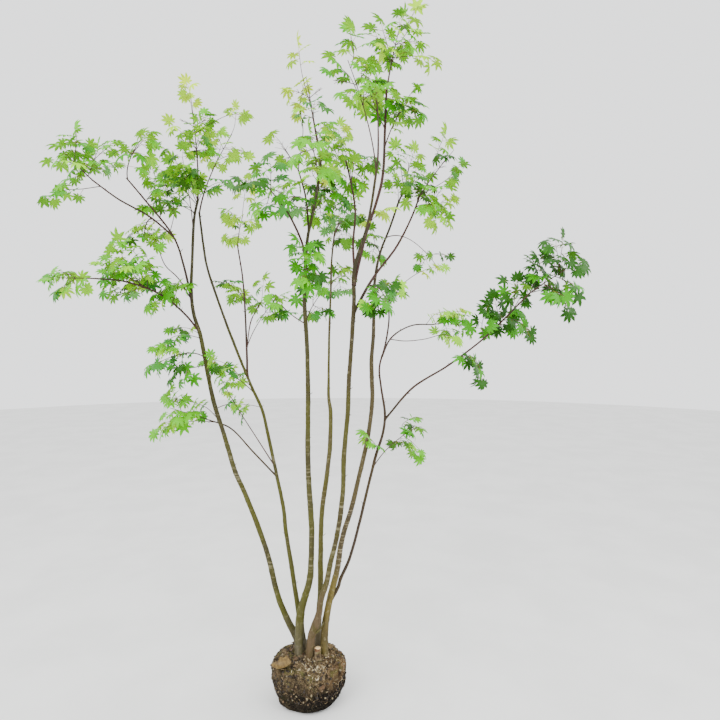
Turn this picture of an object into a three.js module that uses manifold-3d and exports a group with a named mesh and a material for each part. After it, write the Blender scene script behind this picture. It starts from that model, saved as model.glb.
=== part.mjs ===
// Siebold maple: a small tree of seven stems that grow from one root ball.
// Millimetres, +Z up. The origin is the middle of the root ball's flat underside, and the front faces -Y.
import * as THREE from 'three';
import { mergeVertices } from 'three/addons/utils/BufferGeometryUtils.js';
import Module from 'manifold-3d';

const wasm = await Module();
wasm.setup();

const UP = new THREE.Vector3(0, 0, 1);

// Corners closer than WELD are one corner, and a length below TINY counts as none
const WELD = 1e-4;
const TINY = 1e-9;

// The gap that a foot, a bough or a twig keeps to what carries it
const SEAT_GAP = 0.3;

// Root ball: a lump of soil and roots with a flat underside, an oval in plan that is widest near its
// top. Its side passes these shares of its radius and height, its depth is a share of its width, and
// waves of [count round it, turn from foot to top, start] make its lumps.
const BALL_HEIGHT = 200;
const BALL_RADIUS = 162;
const BALL_DEPTH = 0.87;
const BALL_SIDE = [[0.72, 0], [0.86, 0.12], [0.96, 0.4], [1, 0.72], [0.94, 0.88], [0.66, 1]];
const BALL_RINGS = 9;
const BALL_SIDES = 30;
const BALL_WAVES = [[3, 0, -0.4], [5, 2, 0.6], [8, -3, 2]];
const BALL_LUMP = 4;
const BALL_LUMP_RISE = 0.8;

// Limbs: the sides of their sections, the spacing of their rings, and the steps that measure them
const STEM_SIDES = 6;
const BOUGH_SIDES = 5;
const RING_SPACING = 125;
const SEAT_SAMPLES = 400;
const ROUTE_STEPS = 40;

// Stems and boughs: the places that each one's middle passes, from foot to tip, with its radius there.
// A bough's first place is moved onto the middle of the limb that carries it.
const LIMBS = {
  stem_a: {
    route: [
      [-30, 60, 165, 18], [-61, 44, 251, 15.2], [-111, 48, 349, 13.1], [-147, 50, 446, 12.1],
      [-183, 59, 591, 11.1], [-230, 68, 729, 10.7], [-300, 77, 900, 10.4], [-337, 80, 981, 10],
      [-389, 85, 1150, 9.5], [-441, 89, 1318, 9.2], [-499, 95, 1609, 8.6], [-528, 95, 1705, 8.2],
      [-539, 98, 1809, 6.7], [-537, 109, 1960, 6.1], [-529, 118, 2149, 5.6], [-513, 120, 2226, 5.4],
    ],
  },
  stem_b: {
    route: [
      [-12, 13, 165, 13.5], [-34, 30, 286, 12.4], [-55, 48, 397, 10.7], [-88, 72, 585, 9.5],
      [-113, 95, 715, 8.9], [-123, 109, 798, 8.3], [-161, 136, 963, 8], [-205, 168, 1140, 7.4],
      [-234, 187, 1251, 7], [-286, 205, 1359, 6.4], [-373, 235, 1555, 6.1], [-446, 256, 1739, 5.6],
      [-519, 275, 1950, 5.4], [-540, 286, 2064, 5.1], [-562, 299, 2218, 4.9],
    ],
  },
  stem_c: {
    route: [
      [-39, -10, 165, 20], [-39, -14, 283, 19.1], [-33, -19, 383, 17], [-15, -23, 456, 15.2],
      [7, -26, 530, 13.4], [15, -29, 626, 12.1], [18, -33, 760, 11.4], [8, -43, 954, 11.4],
      [4, -51, 1086, 10.5], [7, -66, 1346, 9.4], [4, -76, 1558, 8.8], [-5, -85, 1756, 7.9],
      [8, -96, 1996, 6.4], [28, -99, 2095, 5.9], [52, -106, 2212, 5.6], [65, -110, 2334, 5.4],
      [57, -110, 2379, 5.4],
    ],
  },
  stem_d: {
    route: [
      [40, 13, 165, 13], [42, 35, 328, 12.1], [49, 49, 458, 11.8], [49, 65, 588, 11.4], [50, 81, 711, 10.6],
      [53, 94, 794, 10.3], [75, 124, 966, 10.3], [88, 146, 1097, 9.7], [89, 171, 1249, 9.2], [80, 182, 1318, 6.9],
      [79, 199, 1422, 5.7], [80, 231, 1612, 5.3], [86, 265, 1832, 4.9], [89, 290, 1982, 4.4],
      [103, 310, 2123, 4.1],
    ],
  },
  stem_e: {
    route: [
      [6, -36, 165, 17], [17, -40, 293, 16], [36, -44, 348, 17.5], [51, -48, 407, 13.4],
      [62, -52, 470, 11.4], [85, -57, 544, 11.1], [102, -64, 632, 10.6], [125, -72, 726, 10.3],
      [142, -81, 823, 10.1], [156, -91, 950, 9.7], [161, -105, 1102, 9.9], [178, -125, 1293, 9.1],
      [182, -138, 1414, 8.6], [192, -151, 1546, 8.3], [204, -175, 1747, 8], [205, -190, 1860, 6.8],
      [260, -250, 2040, 5.1], [295, -320, 2250, 4.3],
    ],
  },
  stem_f: {
    route: [
      [72, -16, 165, 17.5], [71, -13, 282, 15.7], [82, -10, 379, 15.1], [102, -5, 472, 13.2],
      [126, 0, 567, 11.8], [149, 6, 706, 11.1], [190, 18, 840, 10.1], [221, 31, 966, 9.7],
      [264, 52, 1155, 9.2], [283, 69, 1315, 9.2], [280, 91, 1486, 9.2], [289, 107, 1609, 7.8],
      [297, 138, 1864, 6.2], [322, 161, 1993, 5.3], [370, 190, 2120, 4.8], [414, 218, 2249, 4.6],
      [441, 230, 2309, 4.4],
    ],
  },
  stem_g: {
    on: 'stem_f',
    route: [
      [100, -12, 420, 7.6], [131, 4, 492, 7], [141, 9, 526, 7], [179, 20, 607, 6.6],
      [216, 35, 731, 6.2], [251, 50, 871, 6.2], [298, 69, 1057, 6.3], [334, 77, 1174, 5.8],
      [341, 83, 1250, 5.3], [325, 116, 1371, 4.5], [318, 142, 1457, 4.3], [348, 183, 1569, 4],
      [366, 215, 1679, 3.7], [365, 235, 1757, 3.6],
    ],
  },
  bough_a_left: {
    on: 'stem_a',
    route: [
      [-535, 95, 1755, 5.3], [-560, 75, 1900, 4.7], [-590, 25, 2035, 4], [-680, -90, 2180, 3.5],
      [-720, -150, 2240, 2.9],
    ],
  },
  bough_a_far: {
    on: 'bough_a_left',
    route: [
      [-595, 20, 2040, 4], [-670, -40, 2110, 3.7], [-770, -120, 2165, 3.3], [-840, -190, 2220, 3],
    ],
  },
  bough_a_low: {
    on: 'stem_a',
    route: [
      [-510, 94, 1625, 4.5], [-555, 60, 1700, 4.1], [-630, -30, 1780, 3.8], [-745, -120, 1825, 3.4],
      [-840, -175, 1830, 3],
    ],
  },
  bough_b_inner: {
    on: 'stem_b',
    route: [
      [-305, 215, 1415, 5.5], [-325, 265, 1560, 4.8], [-365, 375, 1885, 4], [-405, 430, 2080, 3.2],
    ],
  },
  bough_b_low: {
    on: 'stem_b',
    route: [
      [-160, 135, 950, 4], [-265, 130, 1065, 3.7], [-375, 130, 1180, 3.3], [-475, 140, 1215, 3],
    ],
  },
  bough_c_left: {
    on: 'stem_c',
    route: [
      [10, -92, 1930, 5], [-15, -120, 1995, 4.3], [-55, -190, 2080, 3.7], [-95, -260, 2130, 3],
    ],
  },
  bough_c_right: {
    on: 'stem_c',
    route: [
      [20, -96, 2030, 4], [0, -70, 2180, 3.5], [-35, -40, 2310, 3],
    ],
  },
  bough_e_left: {
    on: 'stem_e',
    route: [
      [206, -192, 1865, 5], [200, -160, 1965, 4.5], [208, -115, 2120, 4], [185, -65, 2270, 3.5],
      [165, -35, 2360, 3],
    ],
  },
  bough_e_twin: {
    on: 'stem_e',
    route: [
      [204, -180, 1800, 6.9], [245, -165, 1985, 6.2], [315, -190, 2215, 5.5], [325, -235, 2400, 4.7],
      [330, -255, 2540, 4],
    ],
  },
  bough_e_side: {
    on: 'stem_e',
    route: [
      [200, -168, 1690, 6.2], [240, -145, 1765, 5.6], [285, -105, 1845, 5], [385, -35, 1985, 4.5],
      [455, 20, 2125, 3.9], [495, 60, 2230, 3.4],
    ],
  },
  bough_g_long: {
    on: 'stem_g',
    route: [
      [345, 80, 1225, 4.8], [460, 10, 1375, 4.3], [600, -70, 1475, 3.8], [740, -150, 1595, 3.4],
      [890, -245, 1765, 2.9],
    ],
  },
  bough_g_right: {
    on: 'stem_g',
    route: [
      [335, 160, 1510, 4], [380, 250, 1600, 3.7], [495, 370, 1665, 3.3], [610, 430, 1672, 3],
    ],
  },
};

// Twigs
const STEM_TWIG_RADIUS = 4;
const STEM_TWIG_SIDES = 4;
const SIDE_TWIG_RADIUS = 2.8;
const SIDE_TWIG_SIDES = 3;
const TWIG_SINK = 8;

// A mass's stem sets off between its limb's way and its own, turns at its knee, and ends past the
// middle of its space, each as a share of its length or of the half size
const STEM_KNEE = 0.45;
const STEM_CREST = 0.35;

// Forks: their angle, the stretch of the stem that has them, where each pair sits in its part of that
// stretch, how far they reach towards the edge of the space, and the limits of their length
const FORK_ANGLE = THREE.MathUtils.degToRad(55);
const FORK_START = 0.3;
const FORK_END = 0.9;
const FORK_PLACE = 0.4;
const FORK_TURN = 0.4;
const FORK_REACH = 0.6;
const FORK_STRAY = 0.2;
const LONGEST_TWIG = 150;
const SHORTEST_TWIG = 22;
const TWIG_DROOP = 0.1;
const ROOM_STEP = 5;
const ENTRY_SAMPLES = 40;

// Leaves: the three main lobes round a palm, with the stalk as a spike that roots in its twig.
// The outline is [degrees from the leaf's point, share of the leaf's radius] down one side.
const LEAF_RADIUS = 52;
const LEAF_THICKNESS = 4;
const LEAF_SIDE = [[30, 0.55], [66, 1], [140, 0.34]];
const STALK_REACH = 1.45;
const STALK_SINK = 1.5;
const STALK_SPACING = 6;
const LEAF_FORK_ANGLE = THREE.MathUtils.degToRad(58);
const LEAF_TRIES = 10;

// How far a leaf strays and droops from its place, and the shares that turn its face outwards, to
// either side and up
const LEAF_STRAY = 0.3;
const LEAF_DROOP = 0.7;
const LEAF_OUTWARD = 0.35;
const LEAF_TILT = 0.85;
const LEAF_LEVEL = 0.5;

// Shares of a leaf's radius that it keeps free round its palm
const OWN_ROOM = 1.05;
const OTHER_ROOM = 0.8;
const STALK_ROOM = 3;

// Faces thinner than this are merged into their neighbours where twigs and leaves join
const SLIVER = 0.1;

// Masses of foliage: the limb that carries each and how far along it, the middle and the half sizes
// of the space that it fills, and its pairs of side twigs
const FOLIAGE = {
  a_leader: { on: 'stem_a', at: 1, heart: [-550, 150, 2605], reach: [95, 105, 225], pairs: 2 },
  a_crown: { on: 'stem_a', at: 0.93, heart: [-560, 70, 2355], reach: [110, 120, 130], pairs: 1 },
  b_crown: { on: 'stem_b', at: 1, heart: [-415, 300, 2550], reach: [115, 130, 145], pairs: 2 },
  a_left: { on: 'bough_a_left', at: 1, heart: [-645, -210, 2340], reach: [125, 125, 110], pairs: 1 },
  a_far: { on: 'bough_a_far', at: 1, heart: [-880, -230, 2265], reach: [120, 125, 145], pairs: 2 },
  a_under: { on: 'bough_a_far', at: 0.3, heart: [-690, -25, 2045], reach: [100, 100, 75], pairs: 1 },
  a_inner: { on: 'bough_a_low', at: 0.55, heart: [-770, -20, 1860], reach: [115, 110, 100], pairs: 1 },
  a_tip: { on: 'bough_a_low', at: 1, heart: [-915, -220, 1825], reach: [125, 115, 90], pairs: 1 },
  a_hang: { on: 'stem_a', at: 0.66, heart: [-580, -40, 1500], reach: [115, 110, 125], pairs: 1 },
  b_fork: { on: 'stem_b', at: 0.56, heart: [-445, 310, 1430], reach: [105, 110, 110], pairs: 1 },
  b_low: { on: 'bough_b_low', at: 1, heart: [-605, 140, 1260], reach: [155, 130, 100], pairs: 2 },
  b_tip: { on: 'bough_b_inner', at: 1, heart: [-400, 520, 2220], reach: [115, 125, 170], pairs: 2 },
  b_inner: { on: 'bough_b_inner', at: 0.55, heart: [-410, 420, 1850], reach: [120, 110, 100], pairs: 1 },
  b_right: { on: 'bough_b_inner', at: 0.2, heart: [-205, 330, 1770], reach: [100, 110, 100], pairs: 1 },
  c_left: { on: 'bough_c_left', at: 1, heart: [-95, -420, 2115], reach: [125, 120, 110], pairs: 2 },
  c_right: { on: 'bough_c_right', at: 1, heart: [-90, -20, 2390], reach: [110, 110, 110], pairs: 1 },
  c_crown: { on: 'stem_c', at: 0.87, heart: [65, 30, 2195], reach: [105, 110, 120], pairs: 1 },
  c_front: { on: 'stem_c', at: 0.93, heart: [45, -310, 2295], reach: [115, 120, 125], pairs: 2 },
  c_leader: { on: 'stem_c', at: 1, heart: [15, -115, 2590], reach: [100, 105, 200], pairs: 2 },
  c_low: { on: 'stem_c', at: 0.76, heart: [15, -240, 1885], reach: [100, 115, 95], pairs: 1 },
  c_under: { on: 'stem_c', at: 0.67, heart: [45, -10, 1765], reach: [125, 115, 90], pairs: 1 },
  d_tip: { on: 'stem_d', at: 1, heart: [135, 430, 2190], reach: [120, 130, 150], pairs: 2 },
  d_low: { on: 'stem_d', at: 0.86, heart: [140, 420, 1915], reach: [100, 110, 100], pairs: 1 },
  e_left: { on: 'bough_e_left', at: 1, heart: [210, 0, 2340], reach: [85, 105, 125], pairs: 1 },
  e_back: { on: 'bough_e_left', at: 0.8, heart: [120, 340, 2555], reach: [115, 120, 120], pairs: 1 },
  e_front: { on: 'stem_e', at: 0.98, heart: [195, -440, 2495], reach: [95, 110, 170], pairs: 2 },
  e_top: { on: 'bough_e_twin', at: 1, heart: [370, -285, 2715], reach: [105, 115, 135], pairs: 2 },
  e_right: { on: 'bough_e_twin', at: 0.72, heart: [410, -215, 2505], reach: [95, 115, 125], pairs: 1 },
  e_crown: { on: 'stem_e', at: 1, heart: [285, -360, 2490], reach: [120, 115, 100], pairs: 1 },
  e_low: { on: 'bough_e_side', at: 0.2, heart: [305, -215, 1765], reach: [110, 105, 90], pairs: 1 },
  e_side: { on: 'bough_e_side', at: 0.9, heart: [530, 20, 2175], reach: [110, 120, 130], pairs: 2 },
  e_tip: { on: 'bough_e_side', at: 1, heart: [625, 70, 2400], reach: [110, 115, 125], pairs: 1 },
  f_tip: { on: 'stem_f', at: 1, heart: [465, 320, 2440], reach: [105, 120, 120], pairs: 1 },
  f_spray: { on: 'stem_f', at: 0.84, heart: [285, 240, 2050], reach: [95, 105, 80], pairs: 1 },
  f_back: { on: 'stem_f', at: 0.88, heart: [605, 440, 1985], reach: [115, 125, 100], pairs: 1 },
  g_tip: { on: 'stem_g', at: 1, heart: [380, 250, 1830], reach: [95, 100, 85], pairs: 1 },
  g_right: { on: 'bough_g_right', at: 1, heart: [710, 465, 1690], reach: [135, 125, 95], pairs: 2 },
  g_mid: { on: 'bough_g_long', at: 0.66, heart: [845, -90, 1680], reach: [100, 105, 110], pairs: 1 },
  g_far: { on: 'bough_g_long', at: 1, heart: [960, -335, 1815], reach: [110, 120, 145], pairs: 2 },
  g_low: { on: 'stem_g', at: 0.44, heart: [465, 240, 1135], reach: [100, 110, 105], pairs: 1 },
};
const FIRST_SEED = 11;
const LEAF_SEEDS = 500;

// A repeatable stream of numbers from 0 to 1
function seeded(seed) {
  let state = seed;
  return () => {
    state = (state * 16807) % 2147483647;
    return state / 2147483647;
  };
}

// A closed surface as a solid that can be joined and cut
function solidOf(geometry) {
  const bare = geometry.clone();
  bare.deleteAttribute('normal');
  bare.deleteAttribute('uv');
  const merged = mergeVertices(bare, WELD);
  const corners = merged.index.array;
  const faces = [];
  for (let i = 0; i < corners.length; i += 3) {
    const [a, b, c] = corners.slice(i, i + 3);
    if (a !== b && b !== c && c !== a) faces.push(a, b, c);
  }
  const vertProperties = Float32Array.from(merged.attributes.position.array);
  return new wasm.Manifold(
    new wasm.Mesh({ numProp: 3, vertProperties, triVerts: Uint32Array.from(faces) }),
  );
}

// The main body of a solid, without loose scraps and with sealed hollows filled
function mainBody(solid) {
  const bodies = solid.decompose();
  return bodies.reduce((best, body) => (body.volume() > best.volume() ? body : best));
}

function geometryOf(solid) {
  const { vertProperties, triVerts } = solid.getMesh();
  const geometry = new THREE.BufferGeometry();
  geometry.setAttribute('position', new THREE.BufferAttribute(vertProperties, 3));
  geometry.setIndex(new THREE.BufferAttribute(triVerts, 1));
  geometry.computeVertexNormals();
  return geometry;
}

// A closed tube along a curve with flat ends, grown all over by a skin
function tubeAlong(curve, radiusAt, sides, rings, skin = 0) {
  const tube = new THREE.CylinderGeometry(1, 1, 1, sides, rings).rotateX(Math.PI / 2);
  const corners = tube.attributes.position;
  const turn = new THREE.Quaternion();
  const corner = new THREE.Vector3();
  for (let i = 0; i < corners.count; i += 1) {
    const t = THREE.MathUtils.clamp(corners.getZ(i) + 0.5, 0, 1);
    const along = curve.getTangentAt(t);
    const radius = radiusAt(t) + skin;
    corner.set(corners.getX(i) * radius, corners.getY(i) * radius, 0);
    corner.applyQuaternion(turn.setFromUnitVectors(UP, along));
    corner.add(curve.getPointAt(t));
    if (t === 0) corner.addScaledVector(along, -skin);
    if (t === 1) corner.addScaledVector(along, skin);
    corners.setXYZ(i, corner.x, corner.y, corner.z);
  }
  return tube;
}

// The root ball, grown all over by a skin: lumps fade out at its underside and its top
function rootBall(skin = 0) {
  const side = new THREE.SplineCurve(BALL_SIDE.map(([across, up]) => (
    new THREE.Vector2(BALL_RADIUS * across + skin, (BALL_HEIGHT + skin) * up)
  )));
  const foot = new THREE.Vector2(0, 0);
  const top = new THREE.Vector2(0, BALL_HEIGHT + skin);
  const profile = [foot, ...side.getPoints(BALL_RINGS), top];
  const ball = new THREE.LatheGeometry(profile, BALL_SIDES).rotateX(Math.PI / 2);
  const corners = ball.attributes.position;
  for (let i = 0; i < corners.count; i += 1) {
    const [x, y, z] = [corners.getX(i), corners.getY(i), corners.getZ(i)];
    const angle = Math.atan2(y, x);
    const height = THREE.MathUtils.clamp(z / BALL_HEIGHT, 0, 1);
    const waves = BALL_WAVES.map(([count, turn, start]) => Math.sin(count * angle + turn * height + start));
    const wave = waves.reduce((sum, part) => sum + part);
    const fade = Math.sin(Math.PI * height ** BALL_LUMP_RISE);
    const lump = 1 + (BALL_LUMP / BALL_RADIUS) * wave * fade;
    corners.setXYZ(i, x * lump, y * lump * BALL_DEPTH, z);
  }
  return solidOf(ball);
}

// The place on a limb's middle that lies nearest to a point
function nearestOn(limb, point) {
  const places = limb.curve.getSpacedPoints(SEAT_SAMPLES);
  return places.reduce((best, place) => (
    place.distanceTo(point) < best.distanceTo(point) ? place : best
  ));
}

function makeLimb({ on, route }) {
  const places = route.map(([x, y, z]) => new THREE.Vector3(x, y, z));
  if (on) places[0] = nearestOn(limbs[on], places[0]);
  const curve = new THREE.CatmullRomCurve3(places);
  const last = route.length - 1;
  curve.arcLengthDivisions = last * ROUTE_STEPS;
  const runs = curve.getLengths();
  const marks = route.map((_, i) => runs[i * ROUTE_STEPS] / runs.at(-1));
  const radiusAt = (t) => {
    const next = THREE.MathUtils.clamp(marks.filter((mark) => mark < t).length, 1, last);
    const share = (t - marks[next - 1]) / (marks[next] - marks[next - 1]);
    return THREE.MathUtils.lerp(route[next - 1][3], route[next][3], share);
  };
  const sides = on ? BOUGH_SIDES : STEM_SIDES;
  const rings = Math.ceil(runs.at(-1) / RING_SPACING);
  const bodyWith = (skin) => solidOf(tubeAlong(curve, radiusAt, sides, rings, skin));
  const seat = on ? limbs[on].bodyWith(SEAT_GAP) : rootBall(SEAT_GAP);
  return { curve, radiusAt, rings, bodyWith, solid: mainBody(bodyWith(0).subtract(seat)) };
}

// The least distance between two straight stretches, each given by its ends a and b
function stretchGap(one, two) {
  const u = one.b.clone().sub(one.a);
  const v = two.b.clone().sub(two.a);
  const w = one.a.clone().sub(two.a);
  const [uu, uv, vv, uw, vw] = [u.dot(u), u.dot(v), v.dot(v), u.dot(w), v.dot(w)];
  const spread = uu * vv - uv * uv;
  const clamp = (value) => Math.min(Math.max(value, 0), 1);
  const s0 = spread > TINY ? clamp((uv * vw - vv * uw) / spread) : 0;
  const t = clamp(vv > TINY ? (uv * s0 + vw) / vv : 0);
  const s = clamp(uu > TINY ? (uv * t - uw) / uu : 0);
  return w.addScaledVector(u, s).addScaledVector(v, -t).length();
}

// What is already there, as round stretches that new twigs and leaves keep clear of
const taken = [];

function isFree(stretch) {
  return taken.every((other) => stretchGap(stretch, other) > stretch.r + other.r);
}

function takeLimb({ curve, radiusAt, rings }) {
  const places = curve.getSpacedPoints(rings);
  for (let i = 0; i < rings; i += 1) {
    taken.push({ a: places[i], b: places[i + 1], r: radiusAt(i / rings) });
  }
}

// One leaf as a thin double pyramid on its outline, its point along -X and its faces up and down Y
function leafSolid(palm, along, faceUp) {
  const mirrored = LEAF_SIDE.map(([degrees, share]) => [360 - degrees, share]).reverse();
  const outline = [[0, 1], ...LEAF_SIDE, [180, STALK_REACH], ...mirrored];
  const leaf = new THREE.SphereGeometry(1, outline.length, 2);
  const corners = leaf.attributes.position;
  for (let i = 0; i < corners.count; i += 1) {
    const level = Math.round(corners.getY(i));
    const [degrees, share] = outline[i % (outline.length + 1) % outline.length];
    const angle = THREE.MathUtils.degToRad(degrees);
    const radius = level === 0 ? share * LEAF_RADIUS : 0;
    corners.setXYZ(i, -radius * Math.cos(angle), (level * LEAF_THICKNESS) / 2, radius * Math.sin(angle));
  }
  const back = along.clone().negate();
  const across = new THREE.Vector3().crossVectors(back, faceUp);
  leaf.applyMatrix4(new THREE.Matrix4().makeBasis(back, faceUp, across).setPosition(palm));
  return solidOf(leaf);
}

// A mass of foliage: a twig that leaves its limb and forks in opposite pairs, with three leaves at the
// end of each fork and its own. What would leave the space, or touch something, is left out.
// The forks and the leaves draw from streams of their own.
function growFoliage({ on, at, heart, reach, pairs }, seed) {
  const forkDraw = seeded(seed);
  const leafDraw = seeded(seed + LEAF_SEEDS);
  const stray = (draw, amount) => (draw() * 2 - 1) * amount;
  const middle = new THREE.Vector3(...heart);
  const size = new THREE.Vector3(...reach);
  const depth = (point) => point.clone().sub(middle).divide(size).length();
  const limb = limbs[on];
  const pieces = [];
  const own = [];
  const palms = [];

  const addLeaf = (root, direction, angle, side) => {
    for (let n = 0; n < LEAF_TRIES; n += 1) {
      const along = direction.clone().multiplyScalar(Math.cos(angle));
      along.addScaledVector(side, Math.sin(angle));
      const drift = [stray(leafDraw, LEAF_STRAY), stray(leafDraw, LEAF_STRAY), -LEAF_DROOP * leafDraw()];
      along.add(new THREE.Vector3(...drift));
      along.normalize();
      const palm = root.clone().addScaledVector(along, LEAF_RADIUS * STALK_REACH - STALK_SINK);
      const outward = new THREE.Vector3(palm.x, palm.y, 0).normalize();
      const faceUp = outward.multiplyScalar(LEAF_OUTWARD);
      const tilt = [stray(leafDraw, LEAF_TILT), stray(leafDraw, LEAF_TILT), LEAF_LEVEL];
      faceUp.add(new THREE.Vector3(...tilt));
      faceUp.addScaledVector(along, -faceUp.dot(along)).normalize();
      const stalk = { a: root, b: palm, r: STALK_ROOM };
      const blade = { a: palm, b: palm, r: LEAF_RADIUS * OTHER_ROOM };
      const crowded = palms.some((other) => other.distanceTo(palm) < LEAF_RADIUS * OWN_ROOM);
      if (depth(palm) < 1 && !crowded && isFree(stalk) && isFree(blade)) {
        pieces.push(leafSolid(palm, along, faceUp));
        own.push(stalk, blade);
        palms.push(palm);
        return 1;
      }
    }
    return 0;
  };

  // A leaf at a twig's end and a pair behind it; the answer is how many of them found room
  const addLeaves = (end, direction) => {
    const side = new THREE.Vector3().crossVectors(direction, UP).normalize();
    const root = end.clone();
    let count = 0;
    for (const angle of [0, LEAF_FORK_ANGLE, -LEAF_FORK_ANGLE]) {
      root.addScaledVector(direction, -STALK_SPACING);
      count += addLeaf(root.clone(), direction, angle, side);
    }
    return count;
  };

  const foot = limb.curve.getPointAt(at);
  const limbWay = limb.curve.getTangentAt(at);
  if (at === 1) foot.addScaledVector(limbWay, -TWIG_SINK);
  const way = middle.clone().sub(foot);
  const span = way.length();
  way.normalize();
  const bend = limbWay.clone().add(way).normalize();
  const knee = foot.clone().addScaledVector(bend, span * STEM_KNEE);
  const crest = middle.clone().add(way.clone().multiply(size).multiplyScalar(STEM_CREST));
  const stem = new THREE.QuadraticBezierCurve3(foot, knee, crest);
  const stemRings = Math.max(2, Math.ceil(span / RING_SPACING));
  const stemRadius = (t) => THREE.MathUtils.lerp(STEM_TWIG_RADIUS, SIDE_TWIG_RADIUS, t);
  pieces.push(solidOf(tubeAlong(stem, stemRadius, STEM_TWIG_SIDES, stemRings)));
  const knots = stem.getSpacedPoints(stemRings);
  for (let i = 0; i < stemRings; i += 1) own.push({ a: knots[i], b: knots[i + 1], r: STEM_TWIG_RADIUS });

  const entry = stem.getSpacedPoints(ENTRY_SAMPLES).findIndex((place) => depth(place) < 1);
  const first = Math.max(entry / ENTRY_SAMPLES, FORK_START);
  let spin = forkDraw() * Math.PI;
  for (let pair = 0; pair < pairs; pair += 1) {
    const t = THREE.MathUtils.lerp(first, FORK_END, (pair + FORK_PLACE) / pairs);
    const node = stem.getPointAt(t);
    const stemWay = stem.getTangentAt(t);
    const turn = new THREE.Quaternion().setFromUnitVectors(UP, stemWay);
    spin += Math.PI / 2 + stray(forkDraw, FORK_TURN);
    for (const half of [0, Math.PI]) {
      const out = new THREE.Vector3(Math.cos(spin + half), Math.sin(spin + half), 0).applyQuaternion(turn);
      const twigWay = stemWay.clone().multiplyScalar(Math.cos(FORK_ANGLE));
      twigWay.addScaledVector(out, Math.sin(FORK_ANGLE)).addScaledVector(UP, -TWIG_DROOP).normalize();
      let room = 0;
      while (depth(node.clone().addScaledVector(twigWay, room)) < 1) room += ROOM_STEP;
      const length = Math.min(room * FORK_REACH * (1 + stray(forkDraw, FORK_STRAY)), LONGEST_TWIG);
      const end = node.clone().addScaledVector(twigWay, Math.max(length, SHORTEST_TWIG));
      const twig = { a: node, b: end, r: SIDE_TWIG_RADIUS };
      if (isFree(twig) && addLeaves(end, twigWay) > 0) {
        const line = new THREE.LineCurve3(node, end);
        pieces.push(solidOf(tubeAlong(line, () => SIDE_TWIG_RADIUS, SIDE_TWIG_SIDES, 1)));
        own.push(twig);
      }
    }
  }
  addLeaves(crest, stem.getTangentAt(1));

  taken.push(...own);
  const mass = pieces.reduce((whole, piece) => whole.add(piece));
  return mainBody(mass.subtract(limb.bodyWith(SEAT_GAP)).simplify(SLIVER));
}

// Materials
const SOIL = new THREE.MeshStandardMaterial({ color: 0x5f4e37, roughness: 0.95, metalness: 0 });
const BARK = new THREE.MeshStandardMaterial({ color: 0x77724a, roughness: 0.7, metalness: 0 });
const YOUNG_BARK = new THREE.MeshStandardMaterial({ color: 0x6a4433, roughness: 0.65, metalness: 0 });
const LEAF = new THREE.MeshStandardMaterial({ color: 0x4d9433, roughness: 0.5, metalness: 0 });
const YOUNG_LEAF = new THREE.MeshStandardMaterial({ color: 0xb2cc3e, roughness: 0.5, metalness: 0 });
const YOUNG_FOLIAGE = ['a_leader', 'c_leader', 'e_top'];

const tree = new THREE.Group();

function addNode(name, solid, material) {
  const mesh = new THREE.Mesh(geometryOf(solid), material);
  mesh.name = name;
  tree.add(mesh);
}

addNode('root_ball', rootBall(), SOIL);

const limbs = {};
for (const [name, spec] of Object.entries(LIMBS)) {
  limbs[name] = makeLimb(spec);
  takeLimb(limbs[name]);
  addNode(name, limbs[name].solid, spec.on ? YOUNG_BARK : BARK);
}

Object.entries(FOLIAGE).forEach(([name, spec], number) => {
  const solid = growFoliage(spec, FIRST_SEED + number);
  addNode(`foliage_${name}`, solid, YOUNG_FOLIAGE.includes(name) ? YOUNG_LEAF : LEAF);
});

export default tree;
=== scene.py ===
# Siebold maple on its root ball: bark, twigs, leaves and soil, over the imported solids.
# The tables are in millimetres, as the solids are. The meshes are in metres, in the same frame.
import math
from collections import namedtuple

import bpy
import numpy as np
from mathutils import Matrix, Vector, noise


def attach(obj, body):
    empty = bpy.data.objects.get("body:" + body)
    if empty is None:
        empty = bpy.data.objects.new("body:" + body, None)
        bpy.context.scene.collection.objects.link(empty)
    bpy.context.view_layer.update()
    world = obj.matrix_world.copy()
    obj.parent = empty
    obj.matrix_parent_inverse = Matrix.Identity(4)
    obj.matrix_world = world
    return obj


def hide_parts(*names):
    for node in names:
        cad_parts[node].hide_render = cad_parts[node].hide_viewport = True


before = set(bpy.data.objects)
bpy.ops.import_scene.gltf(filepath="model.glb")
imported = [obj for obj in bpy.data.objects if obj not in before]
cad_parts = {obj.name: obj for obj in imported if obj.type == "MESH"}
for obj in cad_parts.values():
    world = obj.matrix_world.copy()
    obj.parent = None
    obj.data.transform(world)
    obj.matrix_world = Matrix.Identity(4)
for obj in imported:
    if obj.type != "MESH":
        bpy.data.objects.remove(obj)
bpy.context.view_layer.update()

MM = 0.001
UP = Vector((0, 0, 1))
BODY = "root"

# The photograph's camera: its place, how far down it looks, its lens and film, and the picture's pixels;
# then the turn from its view to the frame, and its lens in pixels
EYE = Vector((0.228, -2.296, 1.55))
EYE_PITCH = math.radians(1.31)
LENS = 26.25
SENSOR = 36
PICTURE = 720
SIGHT = Matrix.Rotation(math.pi / 2 - EYE_PITCH, 3, "X")
FOCAL = PICTURE * LENS / SENSOR

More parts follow.
